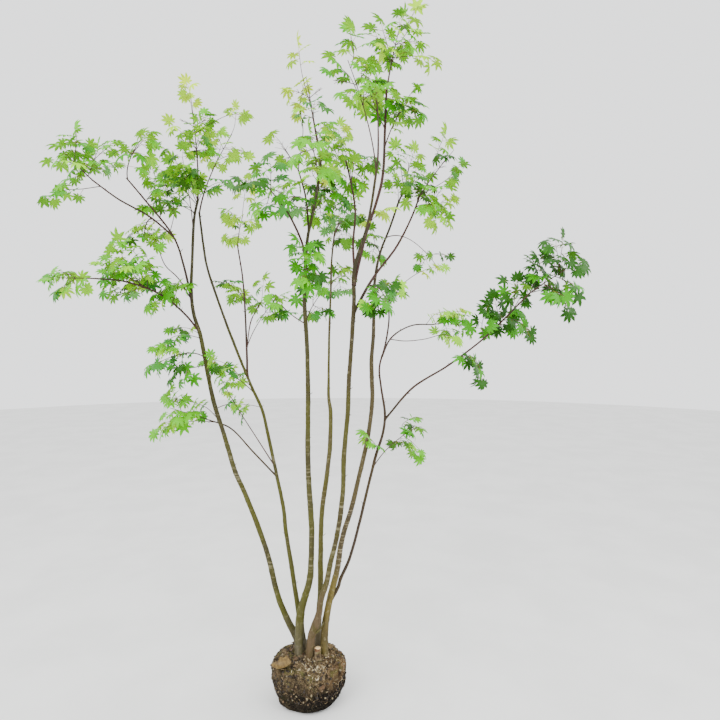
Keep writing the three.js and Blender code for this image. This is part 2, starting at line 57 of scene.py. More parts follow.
# Stems and boughs: the limb that carries each, and the places that its middle passes, with its radius
# there. A bough's first place is moved onto the middle of the limb that carries it.
LIMBS = {
    "stem_a": (None, [
        (-30, 60, 165, 18), (-61, 44, 251, 15.2), (-111, 48, 349, 13.1), (-147, 50, 446, 12.1),
        (-183, 59, 591, 11.1), (-230, 68, 729, 10.7), (-300, 77, 900, 10.4), (-337, 80, 981, 10),
        (-389, 85, 1150, 9.5), (-441, 89, 1318, 9.2), (-499, 95, 1609, 8.6), (-528, 95, 1705, 8.2),
        (-539, 98, 1809, 6.7), (-537, 109, 1960, 6.1), (-529, 118, 2149, 5.6), (-513, 120, 2226, 5.4)]),
    "stem_b": (None, [
        (-12, 13, 165, 13.5), (-34, 30, 286, 12.4), (-55, 48, 397, 10.7), (-88, 72, 585, 9.5),
        (-113, 95, 715, 8.9), (-123, 109, 798, 8.3), (-161, 136, 963, 8), (-205, 168, 1140, 7.4),
        (-234, 187, 1251, 7), (-286, 205, 1359, 6.4), (-373, 235, 1555, 6.1), (-446, 256, 1739, 5.6),
        (-519, 275, 1950, 5.4), (-540, 286, 2064, 5.1), (-562, 299, 2218, 4.9)]),
    "stem_c": (None, [
        (-39, -10, 165, 20), (-39, -14, 283, 19.1), (-33, -19, 383, 17), (-15, -23, 456, 15.2),
        (7, -26, 530, 13.4), (15, -29, 626, 12.1), (18, -33, 760, 11.4), (8, -43, 954, 11.4),
        (4, -51, 1086, 10.5), (7, -66, 1346, 9.4), (4, -76, 1558, 8.8), (-5, -85, 1756, 7.9),
        (8, -96, 1996, 6.4), (28, -99, 2095, 5.9), (52, -106, 2212, 5.6), (65, -110, 2334, 5.4),
        (57, -110, 2379, 5.4)]),
    "stem_d": (None, [
        (40, 13, 165, 13), (42, 35, 328, 12.1), (49, 49, 458, 11.8), (49, 65, 588, 11.4),
        (50, 81, 711, 10.6), (53, 94, 794, 10.3), (75, 124, 966, 10.3), (88, 146, 1097, 9.7),
        (89, 171, 1249, 9.2), (80, 182, 1318, 6.9), (79, 199, 1422, 5.7), (80, 231, 1612, 5.3),
        (86, 265, 1832, 4.9), (89, 290, 1982, 4.4), (103, 310, 2123, 4.1)]),
    "stem_e": (None, [
        (6, -36, 165, 17), (17, -40, 293, 16), (36, -44, 348, 17.5), (51, -48, 407, 13.4),
        (62, -52, 470, 11.4), (85, -57, 544, 11.1), (102, -64, 632, 10.6), (125, -72, 726, 10.3),
        (142, -81, 823, 10.1), (156, -91, 950, 9.7), (161, -105, 1102, 9.9), (178, -125, 1293, 9.1),
        (182, -138, 1414, 8.6), (192, -151, 1546, 8.3), (204, -175, 1747, 8), (205, -190, 1860, 6.8),
        (260, -250, 2040, 5.1), (295, -320, 2250, 4.3)]),
    "stem_f": (None, [
        (72, -16, 165, 17.5), (71, -13, 282, 15.7), (82, -10, 379, 15.1), (102, -5, 472, 13.2),
        (126, 0, 567, 11.8), (149, 6, 706, 11.1), (190, 18, 840, 10.1), (221, 31, 966, 9.7),
        (264, 52, 1155, 9.2), (283, 69, 1315, 9.2), (280, 91, 1486, 9.2), (289, 107, 1609, 7.8),
        (297, 138, 1864, 6.2), (322, 161, 1993, 5.3), (370, 190, 2120, 4.8), (414, 218, 2249, 4.6),
        (441, 230, 2309, 4.4)]),
    "stem_g": ("stem_f", [
        (100, -12, 420, 7.6), (131, 4, 492, 7), (141, 9, 526, 7), (179, 20, 607, 6.6),
        (216, 35, 731, 6.2), (251, 50, 871, 6.2), (298, 69, 1057, 6.3), (334, 77, 1174, 5.8),
        (341, 83, 1250, 5.3), (325, 116, 1371, 4.5), (318, 142, 1457, 4.3), (348, 183, 1569, 4),
        (366, 215, 1679, 3.7), (365, 235, 1757, 3.6)]),
    "bough_a_left": ("stem_a", [
        (-535, 95, 1755, 5.3), (-560, 75, 1900, 4.7), (-590, 25, 2035, 4), (-680, -90, 2180, 3.5),
        (-720, -150, 2240, 2.9)]),
    "bough_a_far": ("bough_a_left", [
        (-595, 20, 2040, 4), (-670, -40, 2110, 3.7), (-770, -120, 2165, 3.3), (-840, -190, 2220, 3)]),
    "bough_a_low": ("stem_a", [
        (-510, 94, 1625, 4.5), (-555, 60, 1700, 4.1), (-630, -30, 1780, 3.8), (-745, -120, 1825, 3.4),
        (-840, -175, 1830, 3)]),
    "bough_b_inner": ("stem_b", [
        (-305, 215, 1415, 5.5), (-325, 265, 1560, 4.8), (-365, 375, 1885, 4), (-405, 430, 2080, 3.2)]),
    "bough_b_low": ("stem_b", [
        (-160, 135, 950, 4), (-265, 130, 1065, 3.7), (-375, 130, 1180, 3.3), (-475, 140, 1215, 3)]),
    "bough_c_left": ("stem_c", [
        (10, -92, 1930, 5), (-15, -120, 1995, 4.3), (-55, -190, 2080, 3.7), (-95, -260, 2130, 3)]),
    "bough_c_right": ("stem_c", [
        (20, -96, 2030, 4), (0, -70, 2180, 3.5), (-35, -40, 2310, 3)]),
    "bough_e_left": ("stem_e", [
        (206, -192, 1865, 5), (200, -160, 1965, 4.5), (208, -115, 2120, 4), (185, -65, 2270, 3.5),
        (165, -35, 2360, 3)]),
    "bough_e_twin": ("stem_e", [
        (204, -180, 1800, 6.9), (245, -165, 1985, 6.2), (315, -190, 2215, 5.5), (325, -235, 2400, 4.7),
        (330, -255, 2540, 4)]),
    "bough_e_side": ("stem_e", [
        (200, -168, 1690, 6.2), (240, -145, 1765, 5.6), (285, -105, 1845, 5), (385, -35, 1985, 4.5),
        (455, 20, 2125, 3.9), (495, 60, 2230, 3.4)]),
    "bough_g_long": ("stem_g", [
        (345, 80, 1225, 4.8), (460, 10, 1375, 4.3), (600, -70, 1475, 3.8), (740, -150, 1595, 3.4),
        (890, -245, 1765, 2.9)]),
    "bough_g_right": ("stem_g", [
        (335, 160, 1510, 4), (380, 250, 1600, 3.7), (495, 370, 1665, 3.3), (610, 430, 1672, 3)]),
}

# Points to each stretch of a route, samples for the seat of a bough or shoot, and the collar at a bough's
# foot: how much wider it is there and how soon it narrows
ROUTE_STEPS = 30
SEAT_SAMPLES = 401
COLLAR = 0.5
COLLAR_LENGTH = 12

# Masses of foliage: the limb that carries each and how far along it, the middle and the half sizes of
# the space that it fills, its pairs of side twigs, its number of leaves, and its tone
FOLIAGE = {
    "a_leader": ("stem_a", 1, (-550, 150, 2605), (95, 105, 225), 2, 30, "young"),
    "a_crown": ("stem_a", 0.93, (-560, 70, 2355), (110, 120, 130), 1, 44, "mixed"),
    "b_crown": ("stem_b", 1, (-415, 300, 2550), (115, 130, 145), 2, 26, "light"),
    "a_left": ("bough_a_left", 1, (-645, -210, 2340), (125, 125, 110), 1, 22, "bright"),
    "a_far": ("bough_a_far", 1, (-880, -230, 2265), (120, 125, 145), 2, 30, "bright"),
    "a_under": ("bough_a_far", 0.3, (-690, -25, 2045), (100, 100, 75), 1, 7, "mixed"),
    "a_inner": ("bough_a_low", 0.55, (-770, -20, 1860), (115, 110, 100), 1, 54, "mixed"),
    "a_tip": ("bough_a_low", 1, (-915, -220, 1825), (125, 115, 90), 1, 22, "mixed"),
    "a_hang": ("stem_a", 0.66, (-580, -40, 1500), (115, 110, 125), 1, 28, "mixed"),
    "b_fork": ("stem_b", 0.56, (-445, 310, 1430), (105, 110, 110), 1, 18, "mixed"),
    "b_low": ("bough_b_low", 1, (-605, 140, 1260), (155, 130, 100), 2, 32, "bright"),
    "b_tip": ("bough_b_inner", 1, (-400, 520, 2220), (115, 125, 170), 2, 24, "light"),
    "b_inner": ("bough_b_inner", 0.55, (-410, 420, 1850), (120, 110, 100), 1, 22, "mixed"),
    "b_right": ("bough_b_inner", 0.2, (-205, 330, 1770), (100, 110, 100), 1, 20, "mixed"),
    "c_left": ("bough_c_left", 1, (-95, -420, 2115), (125, 120, 110), 2, 26, "deep"),
    "c_right": ("bough_c_right", 1, (-90, -20, 2390), (110, 110, 110), 1, 5, "mixed"),
    "c_crown": ("stem_c", 0.87, (65, 30, 2195), (105, 110, 120), 1, 42, "deep"),
    "c_front": ("stem_c", 0.93, (45, -310, 2295), (115, 120, 125), 2, 22, "bright"),
    "c_leader": ("stem_c", 1, (15, -115, 2590), (100, 105, 200), 2, 12, "young"),
    "c_low": ("stem_c", 0.76, (15, -240, 1885), (100, 115, 95), 1, 28, "deep"),
    "c_under": ("stem_c", 0.67, (45, -10, 1765), (125, 115, 90), 1, 18, "deep"),
    "d_tip": ("stem_d", 1, (135, 430, 2190), (120, 130, 150), 2, 38, "mixed"),
    "d_low": ("stem_d", 0.86, (140, 420, 1915), (100, 110, 100), 1, 18, "mixed"),
    "e_left": ("bough_e_left", 1, (210, 0, 2340), (85, 105, 125), 1, 18, "deep"),
    "e_back": ("bough_e_left", 0.8, (120, 340, 2555), (115, 120, 120), 1, 20, "light"),
    "e_front": ("stem_e", 0.98, (195, -440, 2495), (95, 110, 170), 2, 13, "bright"),
    "e_top": ("bough_e_twin", 1, (370, -285, 2715), (105, 115, 135), 2, 25, "fresh"),
    "e_right": ("bough_e_twin", 0.72, (410, -215, 2505), (95, 115, 125), 1, 30, "deep"),
    "e_crown": ("stem_e", 1, (285, -360, 2490), (120, 115, 100), 1, 13, "fresh"),
    "e_low": ("bough_e_side", 0.2, (305, -215, 1765), (110, 105, 90), 1, 34, "mixed"),
    "e_side": ("bough_e_side", 0.9, (530, 20, 2175), (110, 120, 130), 2, 18, "bright"),
    "e_tip": ("bough_e_side", 1, (625, 70, 2400), (110, 115, 125), 1, 4, "mixed"),
    "f_tip": ("stem_f", 1, (465, 320, 2440), (105, 120, 120), 1, 8, "mixed"),
    "f_spray": ("stem_f", 0.84, (285, 240, 2050), (95, 105, 80), 1, 14, "mixed"),
    "f_back": ("stem_f", 0.88, (605, 440, 1985), (115, 125, 100), 1, 8, "mixed"),
    "g_tip": ("stem_g", 1, (380, 250, 1830), (95, 100, 85), 1, 14, "mixed"),
    "g_right": ("bough_g_right", 1, (710, 465, 1690), (135, 125, 95), 2, 22, "mixed"),
    "g_mid": ("bough_g_long", 0.66, (845, -90, 1680), (100, 105, 110), 1, 22, "dusk"),
    "g_far": ("bough_g_long", 1, (960, -335, 1815), (110, 120, 145), 2, 14, "dusk"),
    "g_low": ("stem_g", 0.44, (465, 240, 1135), (100, 110, 105), 1, 16, "mixed"),
}
YOUNG_FOLIAGE = ("a_leader", "c_leader", "e_top")

# Shoots beside the masses: the limb or mass that each leaves, its leaves and their tone, the pixel of
# the photograph that its foot shows at, and the pixels that it passes with how far they lie beyond the
# foot's distance
SHOOTS = (
    ("bough_a_left", 10, "mixed", (171, 231), (174, 214, -10), (172, 198, -20), (166, 186, -30)),
    ("bough_a_left", 6, "light", (163, 220), (152, 221, -10), (140, 224, -20)),
    ("bough_a_left", 7, "mixed", (168, 227), (162, 230, 20), (155, 232, 30)),
    ("bough_a_left", 9, "bright", (150, 198), (156, 184, 10), (153, 170, 20)),
    ("bough_a_left", 9, "mixed", (163, 216), (160, 200, 20), (164, 187, 30), (171, 177, 40)),
    ("stem_a", 9, "bright", (196, 205), (182, 188, 30), (172, 177, 50), (161, 170, 60)),
    ("stem_a", 12, "mixed", (195, 215), (186, 202, -20), (172, 190, -50), (158, 182, -80)),
    ("stem_a", 10, "mixed", (194, 212), (180, 205, -30), (165, 200, -60), (152, 204, -80)),
    ("stem_a", 8, "shade", (197, 205), (203, 192, 10), (214, 184, 20), (222, 182, 20)),
    ("stem_a", 11, "mixed", (198, 201), (190, 180, -60), (178, 164, -90), (166, 150, -100)),
    ("a_leader", 14, "mixed", (196, 150), (201, 140, -10), (206, 130, -20), (204, 121, -30)),
    ("a_leader", 9, "bright", (195, 146), (199, 136, 30), (200, 126, 50)),
    ("a_leader", 6, "lime", (196, 150), (186, 136, -20), (176, 128, -30)),
    ("a_leader", 4, "yellow", (194, 130), (192, 105, -10), (189, 88, -20)),
    ("a_leader", 4, "light", (195, 134), (210, 124, 0), (226, 116, 10), (236, 114, 10)),
    ("a_far", 10, "mixed", (92, 172), (78, 176, -10), (66, 181, -20)),
    ("a_far", 8, "bright", (92, 172), (94, 160, 30), (98, 150, 50)),
    ("a_far", 6, "mixed", (88, 166), (97, 168, 50), (106, 166, 70)),
    ("a_far", 7, "bright", (88, 166), (100, 154, -10), (110, 146, -10)),
    ("bough_a_far", 8, "deep", (100, 187), (82, 189, -30), (66, 190, -60), (52, 195, -80)),
    ("bough_a_low", 9, "deep", (150, 279), (140, 288, -20), (128, 293, -40), (116, 292, -50)),
    ("bough_a_low", 10, "bright", (143, 279), (130, 268, -20), (123, 258, -40), (120, 246, -50)),
    ("bough_a_low", 9, "bright", (150, 281), (146, 268, -30), (140, 259, -50), (134, 252, -60)),
    ("bough_a_low", 7, "mixed", (160, 285), (153, 273, -20), (149, 264, -30)),
    ("bough_a_low", 9, "mixed", (168, 283), (162, 292, -20), (154, 298, -30)),
    ("bough_a_low", 8, "bright", (178, 290), (172, 293, 20), (164, 299, 20), (157, 304, 20)),
    ("bough_a_low", 8, "deep", (183, 290), (178, 284, 20), (172, 284, 40), (166, 286, 50)),
    ("bough_a_low", 6, "bright", (118, 279), (112, 270, -30), (112, 262, -50)),
    ("bough_a_low", 10, "bright", (143, 279), (137, 272, -70), (129, 266, -100), (121, 265, -110)),
    ("bough_a_low", 10, "mixed", (152, 281), (144, 270, 50), (132, 262, 80), (120, 268, 90)),
    ("bough_a_low", 9, "bright", (128, 279), (122, 270, 20), (116, 262, 30)),
    ("bough_a_low", 9, "mixed", (136, 279), (134, 286, 30), (124, 290, 40), (112, 285, 50)),
    ("stem_a", 9, "bright", (196, 296), (186, 285, -20), (178, 283, -40), (172, 289, -50)),
    ("stem_a", 9, "bright", (197, 203), (188, 184, 60), (181, 171, 90), (177, 164, 100)),
    ("stem_a", 6, "mixed", (198, 334), (187, 328, 30), (177, 328, 50)),
    ("stem_a", 2, "bright", (192, 300), (178, 278, -10), (165, 265, -20), (157, 243, -25), (154, 234, -25)),
    ("stem_a", 10, "deep", (205, 365), (190, 368, -50), (172, 368, -80), (156, 365, -100)),
    ("stem_a", 8, "mixed", (200, 338), (186, 335, -40), (173, 337, -60), (162, 345, -70)),
    ("bough_b_low", 9, "bright", (222, 425), (207, 408, -20), (192, 402, -40), (176, 400, -50)),
    ("bough_b_low", 9, "bright", (216, 424), (196, 421, -20), (177, 424, -30), (162, 428, -40)),
    ("stem_b", 9, "mixed", (252, 388), (236, 372, 20), (222, 362, 30), (212, 360, 30)),
    ("stem_b", 4, "light", (260, 408), (250, 405, 10), (240, 404, 20)),
    ("stem_b", 16, "mixed", (275, 466), (258, 440, -20), (240, 412, -40), (227, 390, -50), (215, 364, -60)),
    ("bough_b_inner", 4, "mixed", (249, 350), (251, 320, -5), (261, 302, -10), (263, 286, -15)),
    ("b_crown", 5, "lime", (232, 148), (234, 128, -10), (236, 114, -20)),
    ("b_tip", 7, "light", (241, 220), (244, 200, -20), (246, 184, -30)),
    ("b_tip", 8, "mixed", (241, 230), (238, 223, -10), (232, 218, -20)),
    ("stem_c", 10, "mixed", (314, 206), (303, 198, -40), (291, 197, -70), (284, 203, -80)),
    ("stem_c", 7, "mixed", (313, 208), (296, 197, -60), (283, 189, -90), (277, 187, -100)),
    ("stem_c", 9, "bright", (319, 178), (315, 168, 60), (318, 158, 90), (325, 150, 100)),
    ("stem_c", 7, "mixed", (304.5, 324), (296, 318, -10), (287, 311, -20), (279, 304, -25)),
    ("stem_c", 8, "shade", (313, 211), (300, 207, 30), (289, 208, 50)),
    ("stem_c", 8, "mixed", (317, 192), (307, 184, 30), (297, 181, 50)),
    ("stem_c", 8, "shade", (318, 186), (330, 190, 40), (340, 198, 60)),
    ("stem_c", 8, "bright", (320, 162), (330, 153, 20), (338, 147, 30)),
    ("c_leader", 9, "bright", (317, 147), (316, 137, -20), (321, 128, -30)),
    ("stem_c", 9, "mixed", (319, 182), (312, 172, -30), (317, 162, -50)),
    ("stem_c", 6, "light", (315, 196), (322, 184, 20), (332, 176, 40)),
    ("bough_c_right", 8, "yellow", (309, 165), (303, 130, 0), (300, 106, 0), (303, 88, 0)),
    ("c_leader", 5, "yellow", (308, 110), (302, 74, -10), (299, 52, -20)),
    ("bough_e_left", 9, "bright", (353, 190), (350, 168, -20), (346, 154, -30), (342, 144, -30)),
    ("stem_d", 10, "mixed", (333, 240), (339, 224, -30), (346, 212, -50), (352, 200, -60)),
    ("stem_e", 8, "lime", (366, 225), (374, 218, 30), (381, 212, 50)),
    ("e_front", 9, "bright", (352, 68), (354, 52, -10), (352, 41, -20), (351, 36, -20)),
    ("e_crown", 5, "mixed", (372, 112), (358, 92, -10), (350, 77, -20), (340, 67, -30)),
    ("bough_e_twin", 10, "bright", (387, 122), (384, 106, 20), (379, 94, 30), (374, 85, 40)),
    ("bough_e_twin", 9, "bright", (384, 128), (377, 112, 60), (374, 99, 90), (376, 90, 100)),
    ("e_right", 9, "bright", (402, 112), (398, 100, 10), (393, 88, 20)),
    ("e_top", 10, "bright", (390, 62), (387, 44, -20), (383, 31, -40)),
    ("e_top", 9, "bright", (390, 62), (384, 51, 30), (379, 42, 50), (377, 37, 60)),
    ("e_top", 4, "light", (397, 46), (403, 38, -30), (408, 31, -50)),
    ("e_top", 4, "lime", (401, 36), (407, 25, -10), (411, 18, -10)),
    ("e_top", 5, "lime", (392, 58), (412, 56, 10), (428, 58, 20)),
    ("bough_e_twin", 10, "mixed", (384, 130), (376, 108, -40), (370, 92, -70), (368, 78, -80)),
    ("bough_e_side", 9, "mixed", (426, 205), (418, 190, -20), (414, 178, -30), (415, 172, -30)),
    ("bough_e_side", 8, "mixed", (424, 206), (417, 198, 40), (414, 188, 60)),
    ("bough_e_side", 9, "mixed", (424, 206), (427, 192, 10), (424, 178, 20)),
    ("bough_e_side", 10, "bright", (420, 212), (428, 204, -20), (436, 202, -30), (443, 208, -40)),
    ("bough_e_side", 5, "lime", (421, 212), (434, 206, 0), (446, 200, 0)),
    ("bough_e_side", 6, "deep", (430, 193), (446, 180, 0), (458, 168, 10)),
    ("e_tip", 6, "light", (440, 168), (438, 151, 0), (442, 141, -10)),
    ("stem_f", 8, "mixed", (404, 190), (401, 170, -10), (398, 152, -20)),
    ("stem_f", 7, "mixed", (399, 204), (398, 190, -30), (394, 180, -40)),
    ("stem_g", 7, "light", (389, 305), (402, 285, -10), (420, 272, -20), (438, 266, -30)),
    ("stem_g", 5, "bright", (379, 452), (375, 444, -10), (370, 438, -10)),
    ("g_low", 5, "bright", (404, 436), (411, 441, -10), (418, 448, -10)),
    ("g_low", 5, "bright", (404, 436), (412, 446, 20), (416, 451, 30)),
    ("g_low", 5, "mixed", (404, 434), (402, 425, 10), (410, 419, 20)),
    ("bough_g_right", 8, "light", (426, 322), (434, 315, -20), (444, 311, -30)),
    ("bough_g_right", 5, "light", (391, 340), (405, 341, -5), (425, 339, -10), (441, 335, -15),
     (452, 336, -15)),
    ("bough_g_right", 6, "light", (440, 318), (452, 313, 20), (462, 311, 30)),
    ("bough_g_long", 6, "dusk", (500, 324), (498, 313, 20), (496, 305, 30)),
    ("bough_g_long", 11, "dusk", (455, 362), (464, 356, -30), (473, 357, -50), (479, 366, -60),
     (481, 375, -60)),
    ("bough_g_long", 7, "dusk", (484, 339), (482, 324, -20), (486, 312, -30)),
    ("bough_g_long", 10, "dusk", (508, 316), (514, 302, -20), (515, 286, -30)),
    ("bough_g_long", 8, "dusk", (503, 321), (516, 320, -30), (526, 328, -50)),
    ("bough_g_long", 7, "dusk", (532, 290), (536, 276, -10), (540, 264, -20)),
    ("bough_g_long", 7, "dusk", (532, 290), (546, 286, -20), (554, 290, -30)),
    ("bough_g_long", 8, "dusk", (545, 280), (558, 288, -20), (566, 302, -20)),
    ("bough_g_long", 6, "dusk", (512, 311), (520, 298, 20), (526, 288, 30)),
    ("bough_g_long", 6, "dusk", (540, 284), (538, 273, 20), (534, 265, 30)),
    ("g_far", 6, "dusk", (556, 276), (560, 260, -10), (562, 248, -20)),
    ("g_far", 6, "dusk", (556, 264), (557, 252, 30), (556, 246, 40)),
    ("g_far", 6, "dusk", (558, 274), (567, 268, 10), (574, 264, 20)),
    ("bough_g_long", 8, "dusk", (455, 362), (464, 357, -60), (472, 358, -80), (476, 363, -90)),
)

# A shoot's radius at the tip and what each millimetre of its length adds at the foot, where its leaves
# start by the share of its length, their spacing, and its steps and sides
SHOOT_TIP = 1.0
SHOOT_TAPER = 0.0045
SHOOT_LEAVES_FROM = 0.35
SHOOT_SPACING = 24
SHOOT_STEPS = 8
SHOOT_SIDES = 6

# Shoots without leaves: the limb, the radii at foot and tip, the number of the skin, and the pixels;
# then the sides and the spacing of their rings
BARE_SHOOTS = (
    ("stem_a", (2.8, 1.8), 2, (212, 396), (210.5, 383, -10), (211, 373, -12)),
    ("stem_e", (3.6, 2.2), 2, (316, 637), (318.5, 631, -18), (322, 626.5, 2), (324, 621, 14)),
    ("stem_b", (3.2, 1.8), 0, (275, 466), (258, 440, -20), (240, 412, -40), (227, 390, -50)),
    ("stem_a", (2.2, 1.4), 0, (213, 410), (222, 406, -15), (232, 403, -25)),
    ("bough_g_right", (2.4, 1.6), 0, (391, 340), (405, 341, -5), (425, 339, -10), (441, 335, -15),
     (452, 336, -15)),
    ("stem_c", (2.6, 1.8), 0, (304, 324), (296, 318, -10), (287, 311, -20), (281, 304, -25)),
    ("stem_a", (3.2, 1.8), 0, (192, 300), (178, 278, -10), (165, 265, -20), (157, 243, -25), (154, 234, -25)),
    ("bough_b_inner", (2.6, 1.6), 0, (249, 350), (251, 322, -5), (260, 302, -10)),
)
BARE_SIDES = 8
BARE_SPACING = 8

# Seeds of the random draws, of the forks as in the solids and of all that the scene adds, then the
# factor and the prime that each stream of draws goes on by
FIRST_SEED = 11
DETAIL_SEEDS = 900
SHOOT_SEEDS = 1700
BARK_SEEDS = 40
SPUR_SEEDS = 300
CRUMB_SEED = 71
ROOT_SEED = 83
FLAKE_SEED = 97
DRAW_FACTOR = 16807
DRAW_PRIME = 2147483647

# A mass's stem and its forks follow the same rule and the same draws as in the solids: how deep it sits
# at a limb's tip and how wide it starts there, how it bends, and where and how far the forks go
TWIG_SINK = 8
TIP_SHARE = 0.97
STEM_KNEE = 0.45
STEM_CREST = 0.35
FORK_ANGLE = math.radians(55)
FORK_START = 0.3
FORK_END = 0.9
FORK_PLACE = 0.4
FORK_TURN = 0.4
FORK_REACH = 0.6
FORK_STRAY = 0.2
LONGEST_TWIG = 150
SHORTEST_TWIG = 22
TWIG_DROOP = 0.1
SIDE_TWIG_BOW = 0.12
ROOM_STEP = 5
ENTRY_SAMPLES = 40

# The finer twigs that the forks carry on to: their places along a side twig, their angle, and how far
# they stray and bow up; their length is a share of the side twig's, which falls towards its tip
FINE_PLACES = (0.4, 0.72)
FINE_ANGLE = math.radians(48)
FINE_STRAY = 0.25
FINE_BOW = 0.15
FINE_SHARE = 0.55
FINE_SHARES = (0.7, 1.1)
FINE_FALL = 1.3
FINE_SHORTEST = 18

# Leaves stand along each kind of twig from a share of its length on, with a spacing
SIDE_LEAVES_FROM = 0.45
FINE_LEAVES_FROM = 0.6
LEAF_SPACING = 34
STEM_LEAF_SPACING = LEAF_SPACING * 1.4

# Kinds of twig: radii at foot and tip, sides of their rings, and steps of their curve; then how far
# apart the rings are
TwigKind = namedtuple("TwigKind", "radii sides steps")
STEM_TWIG = TwigKind((2.8, 1.3), 6, 24)
SIDE_TWIG = TwigKind((1.6, 1.0), 5, 12)
FINE_TWIG = TwigKind((1.1, 0.7), 4, 6)
LEAF_STALK = TwigKind((0.8, 0.6), 4, 4)
RING_SPACING = 12

# Leaves: radius from the stalk to the point, stalk length, angles from the twig at an end and in a pair,
# and how far they stray, droop and face out. From the first height down to the second they come to hang
# and to face the open side. The last values are the room that a leaf needs, by shares of its radius, how
# far out of its mass's space it may stand, and how much later than ends the pairs take their turn.
LEAF_RADIUS = 43
LEAF_SIZES = (0.78, 1.1)
YOUNG_SIZE = 0.86
LEAF_THICKNESS = 0.016
STALK_LENGTHS = (26, 48)
STALK_BOW = 0.12
LEAF_FORK_ANGLE = math.radians(58)
END_ANGLES = (0, LEAF_FORK_ANGLE, -LEAF_FORK_ANGLE)
PAIR_ANGLES = (LEAF_FORK_ANGLE, -LEAF_FORK_ANGLE)
LEAF_TRIES = 8
LEAF_STRAY = 0.3
LEAF_DROOP = 0.55
BLADE_DROOP = 0.5
LEAF_OUTWARD = 0.45
LEAF_TILT = 0.6
LEAF_LEVEL = 0.7
HANG_HEIGHTS = (2.05, 1.75)
HANG_SHARES = {"dusk": 1.0}
HANG_LEAST = 0.4
HANG_LEVEL = 0.15
HANG_FORWARD = 0.9
LEAF_MIDDLE = 0.4
LEAF_ROOM = 0.46
LIMB_ROOM = 0.5
DEEPEST = 1.16
PAIR_DELAY = 0.4


def runs_along(points):
    """How far along a line each of its points lies."""
    steps = np.linalg.norm(np.diff(points, axis=0), axis=1)
    return np.concatenate(([0.0], np.cumsum(steps)))


class Path:
    """A line of points that can be asked for its places and ways by the share of its length."""

    def __init__(self, points):
        self.points = np.array([tuple(point) for point in points], float)
        self.runs = runs_along(self.points)
        self.length = float(self.runs[-1])

    def places(self, shares):
        runs = np.clip(shares, 0, 1) * self.length
        return np.stack([np.interp(runs, self.runs, self.points[:, k]) for k in range(3)], axis=1)

    def place(self, share):
        return Vector(self.places(np.array([share]))[0])

    def way(self, share, step=0.004):
        return (self.place(share + step) - self.place(share - step)).normalized()


def put(name, data):
    """A new object in the scene."""
    item = bpy.data.objects.new(name, data)
    bpy.context.scene.collection.objects.link(item)
    return item


class Heap:
    """Meshes gathered into one piece, each triangle with the number of its material."""

    def __init__(self):
        self.corners = []
        self.faces = []
        self.tints = []
        self.count = 0

    def add(self, corners, faces, tint=0):
        self.corners.append(np.asarray(corners, float))
        self.faces.append(np.asarray(faces) + self.count)
        self.tints.append(np.broadcast_to(tint, len(faces)))
        self.count += len(corners)

    def piece(self, name, materials, slot, stands_for=(), smooth=True):
        """The heap as one mesh on the tree's body, which may stand for some nodes."""
        mesh = bpy.data.meshes.new(name)
        faces = np.concatenate(self.faces)
        mesh.from_pydata(np.concatenate(self.corners).tolist(), [], faces.tolist())
        for item in materials:
            mesh.materials.append(item)
        mesh.polygons.foreach_set("material_index", np.concatenate(self.tints).astype(np.int32))
        mesh.polygons.foreach_set("use_smooth", np.full(len(faces), smooth))
        mesh.update()
        piece = put(name, mesh)
        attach(piece, BODY)
        if stands_for:
            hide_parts(*stands_for)


def seeded(seed):
    """A repeatable stream of numbers from 0 to 1."""
    state = seed

    def draw():
        nonlocal state
        state = state * DRAW_FACTOR % DRAW_PRIME
        return state / DRAW_PRIME

    return draw


def stray(draw, amount):
    """A number from a stream, up to an amount either way."""
    return (draw() * 2 - 1) * amount


def lerp(one, two, share):
    """The value, place or way at a share of the step from one to two."""
    return one + (two - one) * share


def hermite(start, end, leaving, arriving, t):
    """The place at t, from 0 to 1, on the curve between two places with its ways at both."""
    along = start * (2 * t ** 3 - 3 * t ** 2 + 1) + end * (3 * t ** 2 - 2 * t ** 3)
    return along + leaving * (t ** 3 - 2 * t ** 2 + t) + arriving * (t ** 3 - t ** 2)


def catmull_rom(places, steps=ROUTE_STEPS):
    """The centripetal curve through some places, as a close line of points."""
    places = [Vector(place) for place in places]
    ends = [places[0] * 2 - places[1], *places, places[-1] * 2 - places[-2]]
    line = []
    for p0, p1, p2, p3 in zip(ends, ends[1:], ends[2:], ends[3:]):
        d0, d1, d2 = (math.sqrt((b - a).length) for a, b in ((p0, p1), (p1, p2), (p2, p3)))
        leaving = ((p1 - p0) / d0 - (p2 - p0) / (d0 + d1) + (p2 - p1) / d1) * d1
        arriving = ((p2 - p1) / d1 - (p3 - p1) / (d1 + d2) + (p3 - p2) / d2) * d1
        line += [hermite(p1, p2, leaving, arriving, step / steps) for step in range(steps)]
    return [*line, places[-1]]


def bend(foot, knee, tip, steps):
    """The curve that sets off from foot towards knee and comes from knee to tip."""
    shares = [step / steps for step in range(steps + 1)]
    return Path([foot * (1 - t) ** 2 + knee * (2 * t * (1 - t)) + tip * t ** 2 for t in shares])


def angles_round(sides):
    """The angles of the corners round a ring."""
    return np.arange(sides) * (math.tau / sides)


def sleeve(rims, foot, tip):
    """The closed skin over rings of corners, with a place that closes it at each end."""
    rings, sides = rims.shape[:2]
    here = np.arange(sides)
    after = (here + 1) % sides
    last = (rings - 1) * sides
    starts = (np.arange(rings - 1) * sides)[:, None]
    a, b = (starts + here).ravel(), (starts + after).ravel()
    faces = [
        np.stack([np.full(sides, rings * sides), after, here], axis=1),
        np.stack([np.full(sides, rings * sides + 1), last + here, last + after], axis=1),
        np.stack([a, b, b + sides], axis=1),
        np.stack([a, b + sides, a + sides], axis=1)]
    return np.vstack([rims.reshape(-1, 3), foot, tip]), np.concatenate(faces)


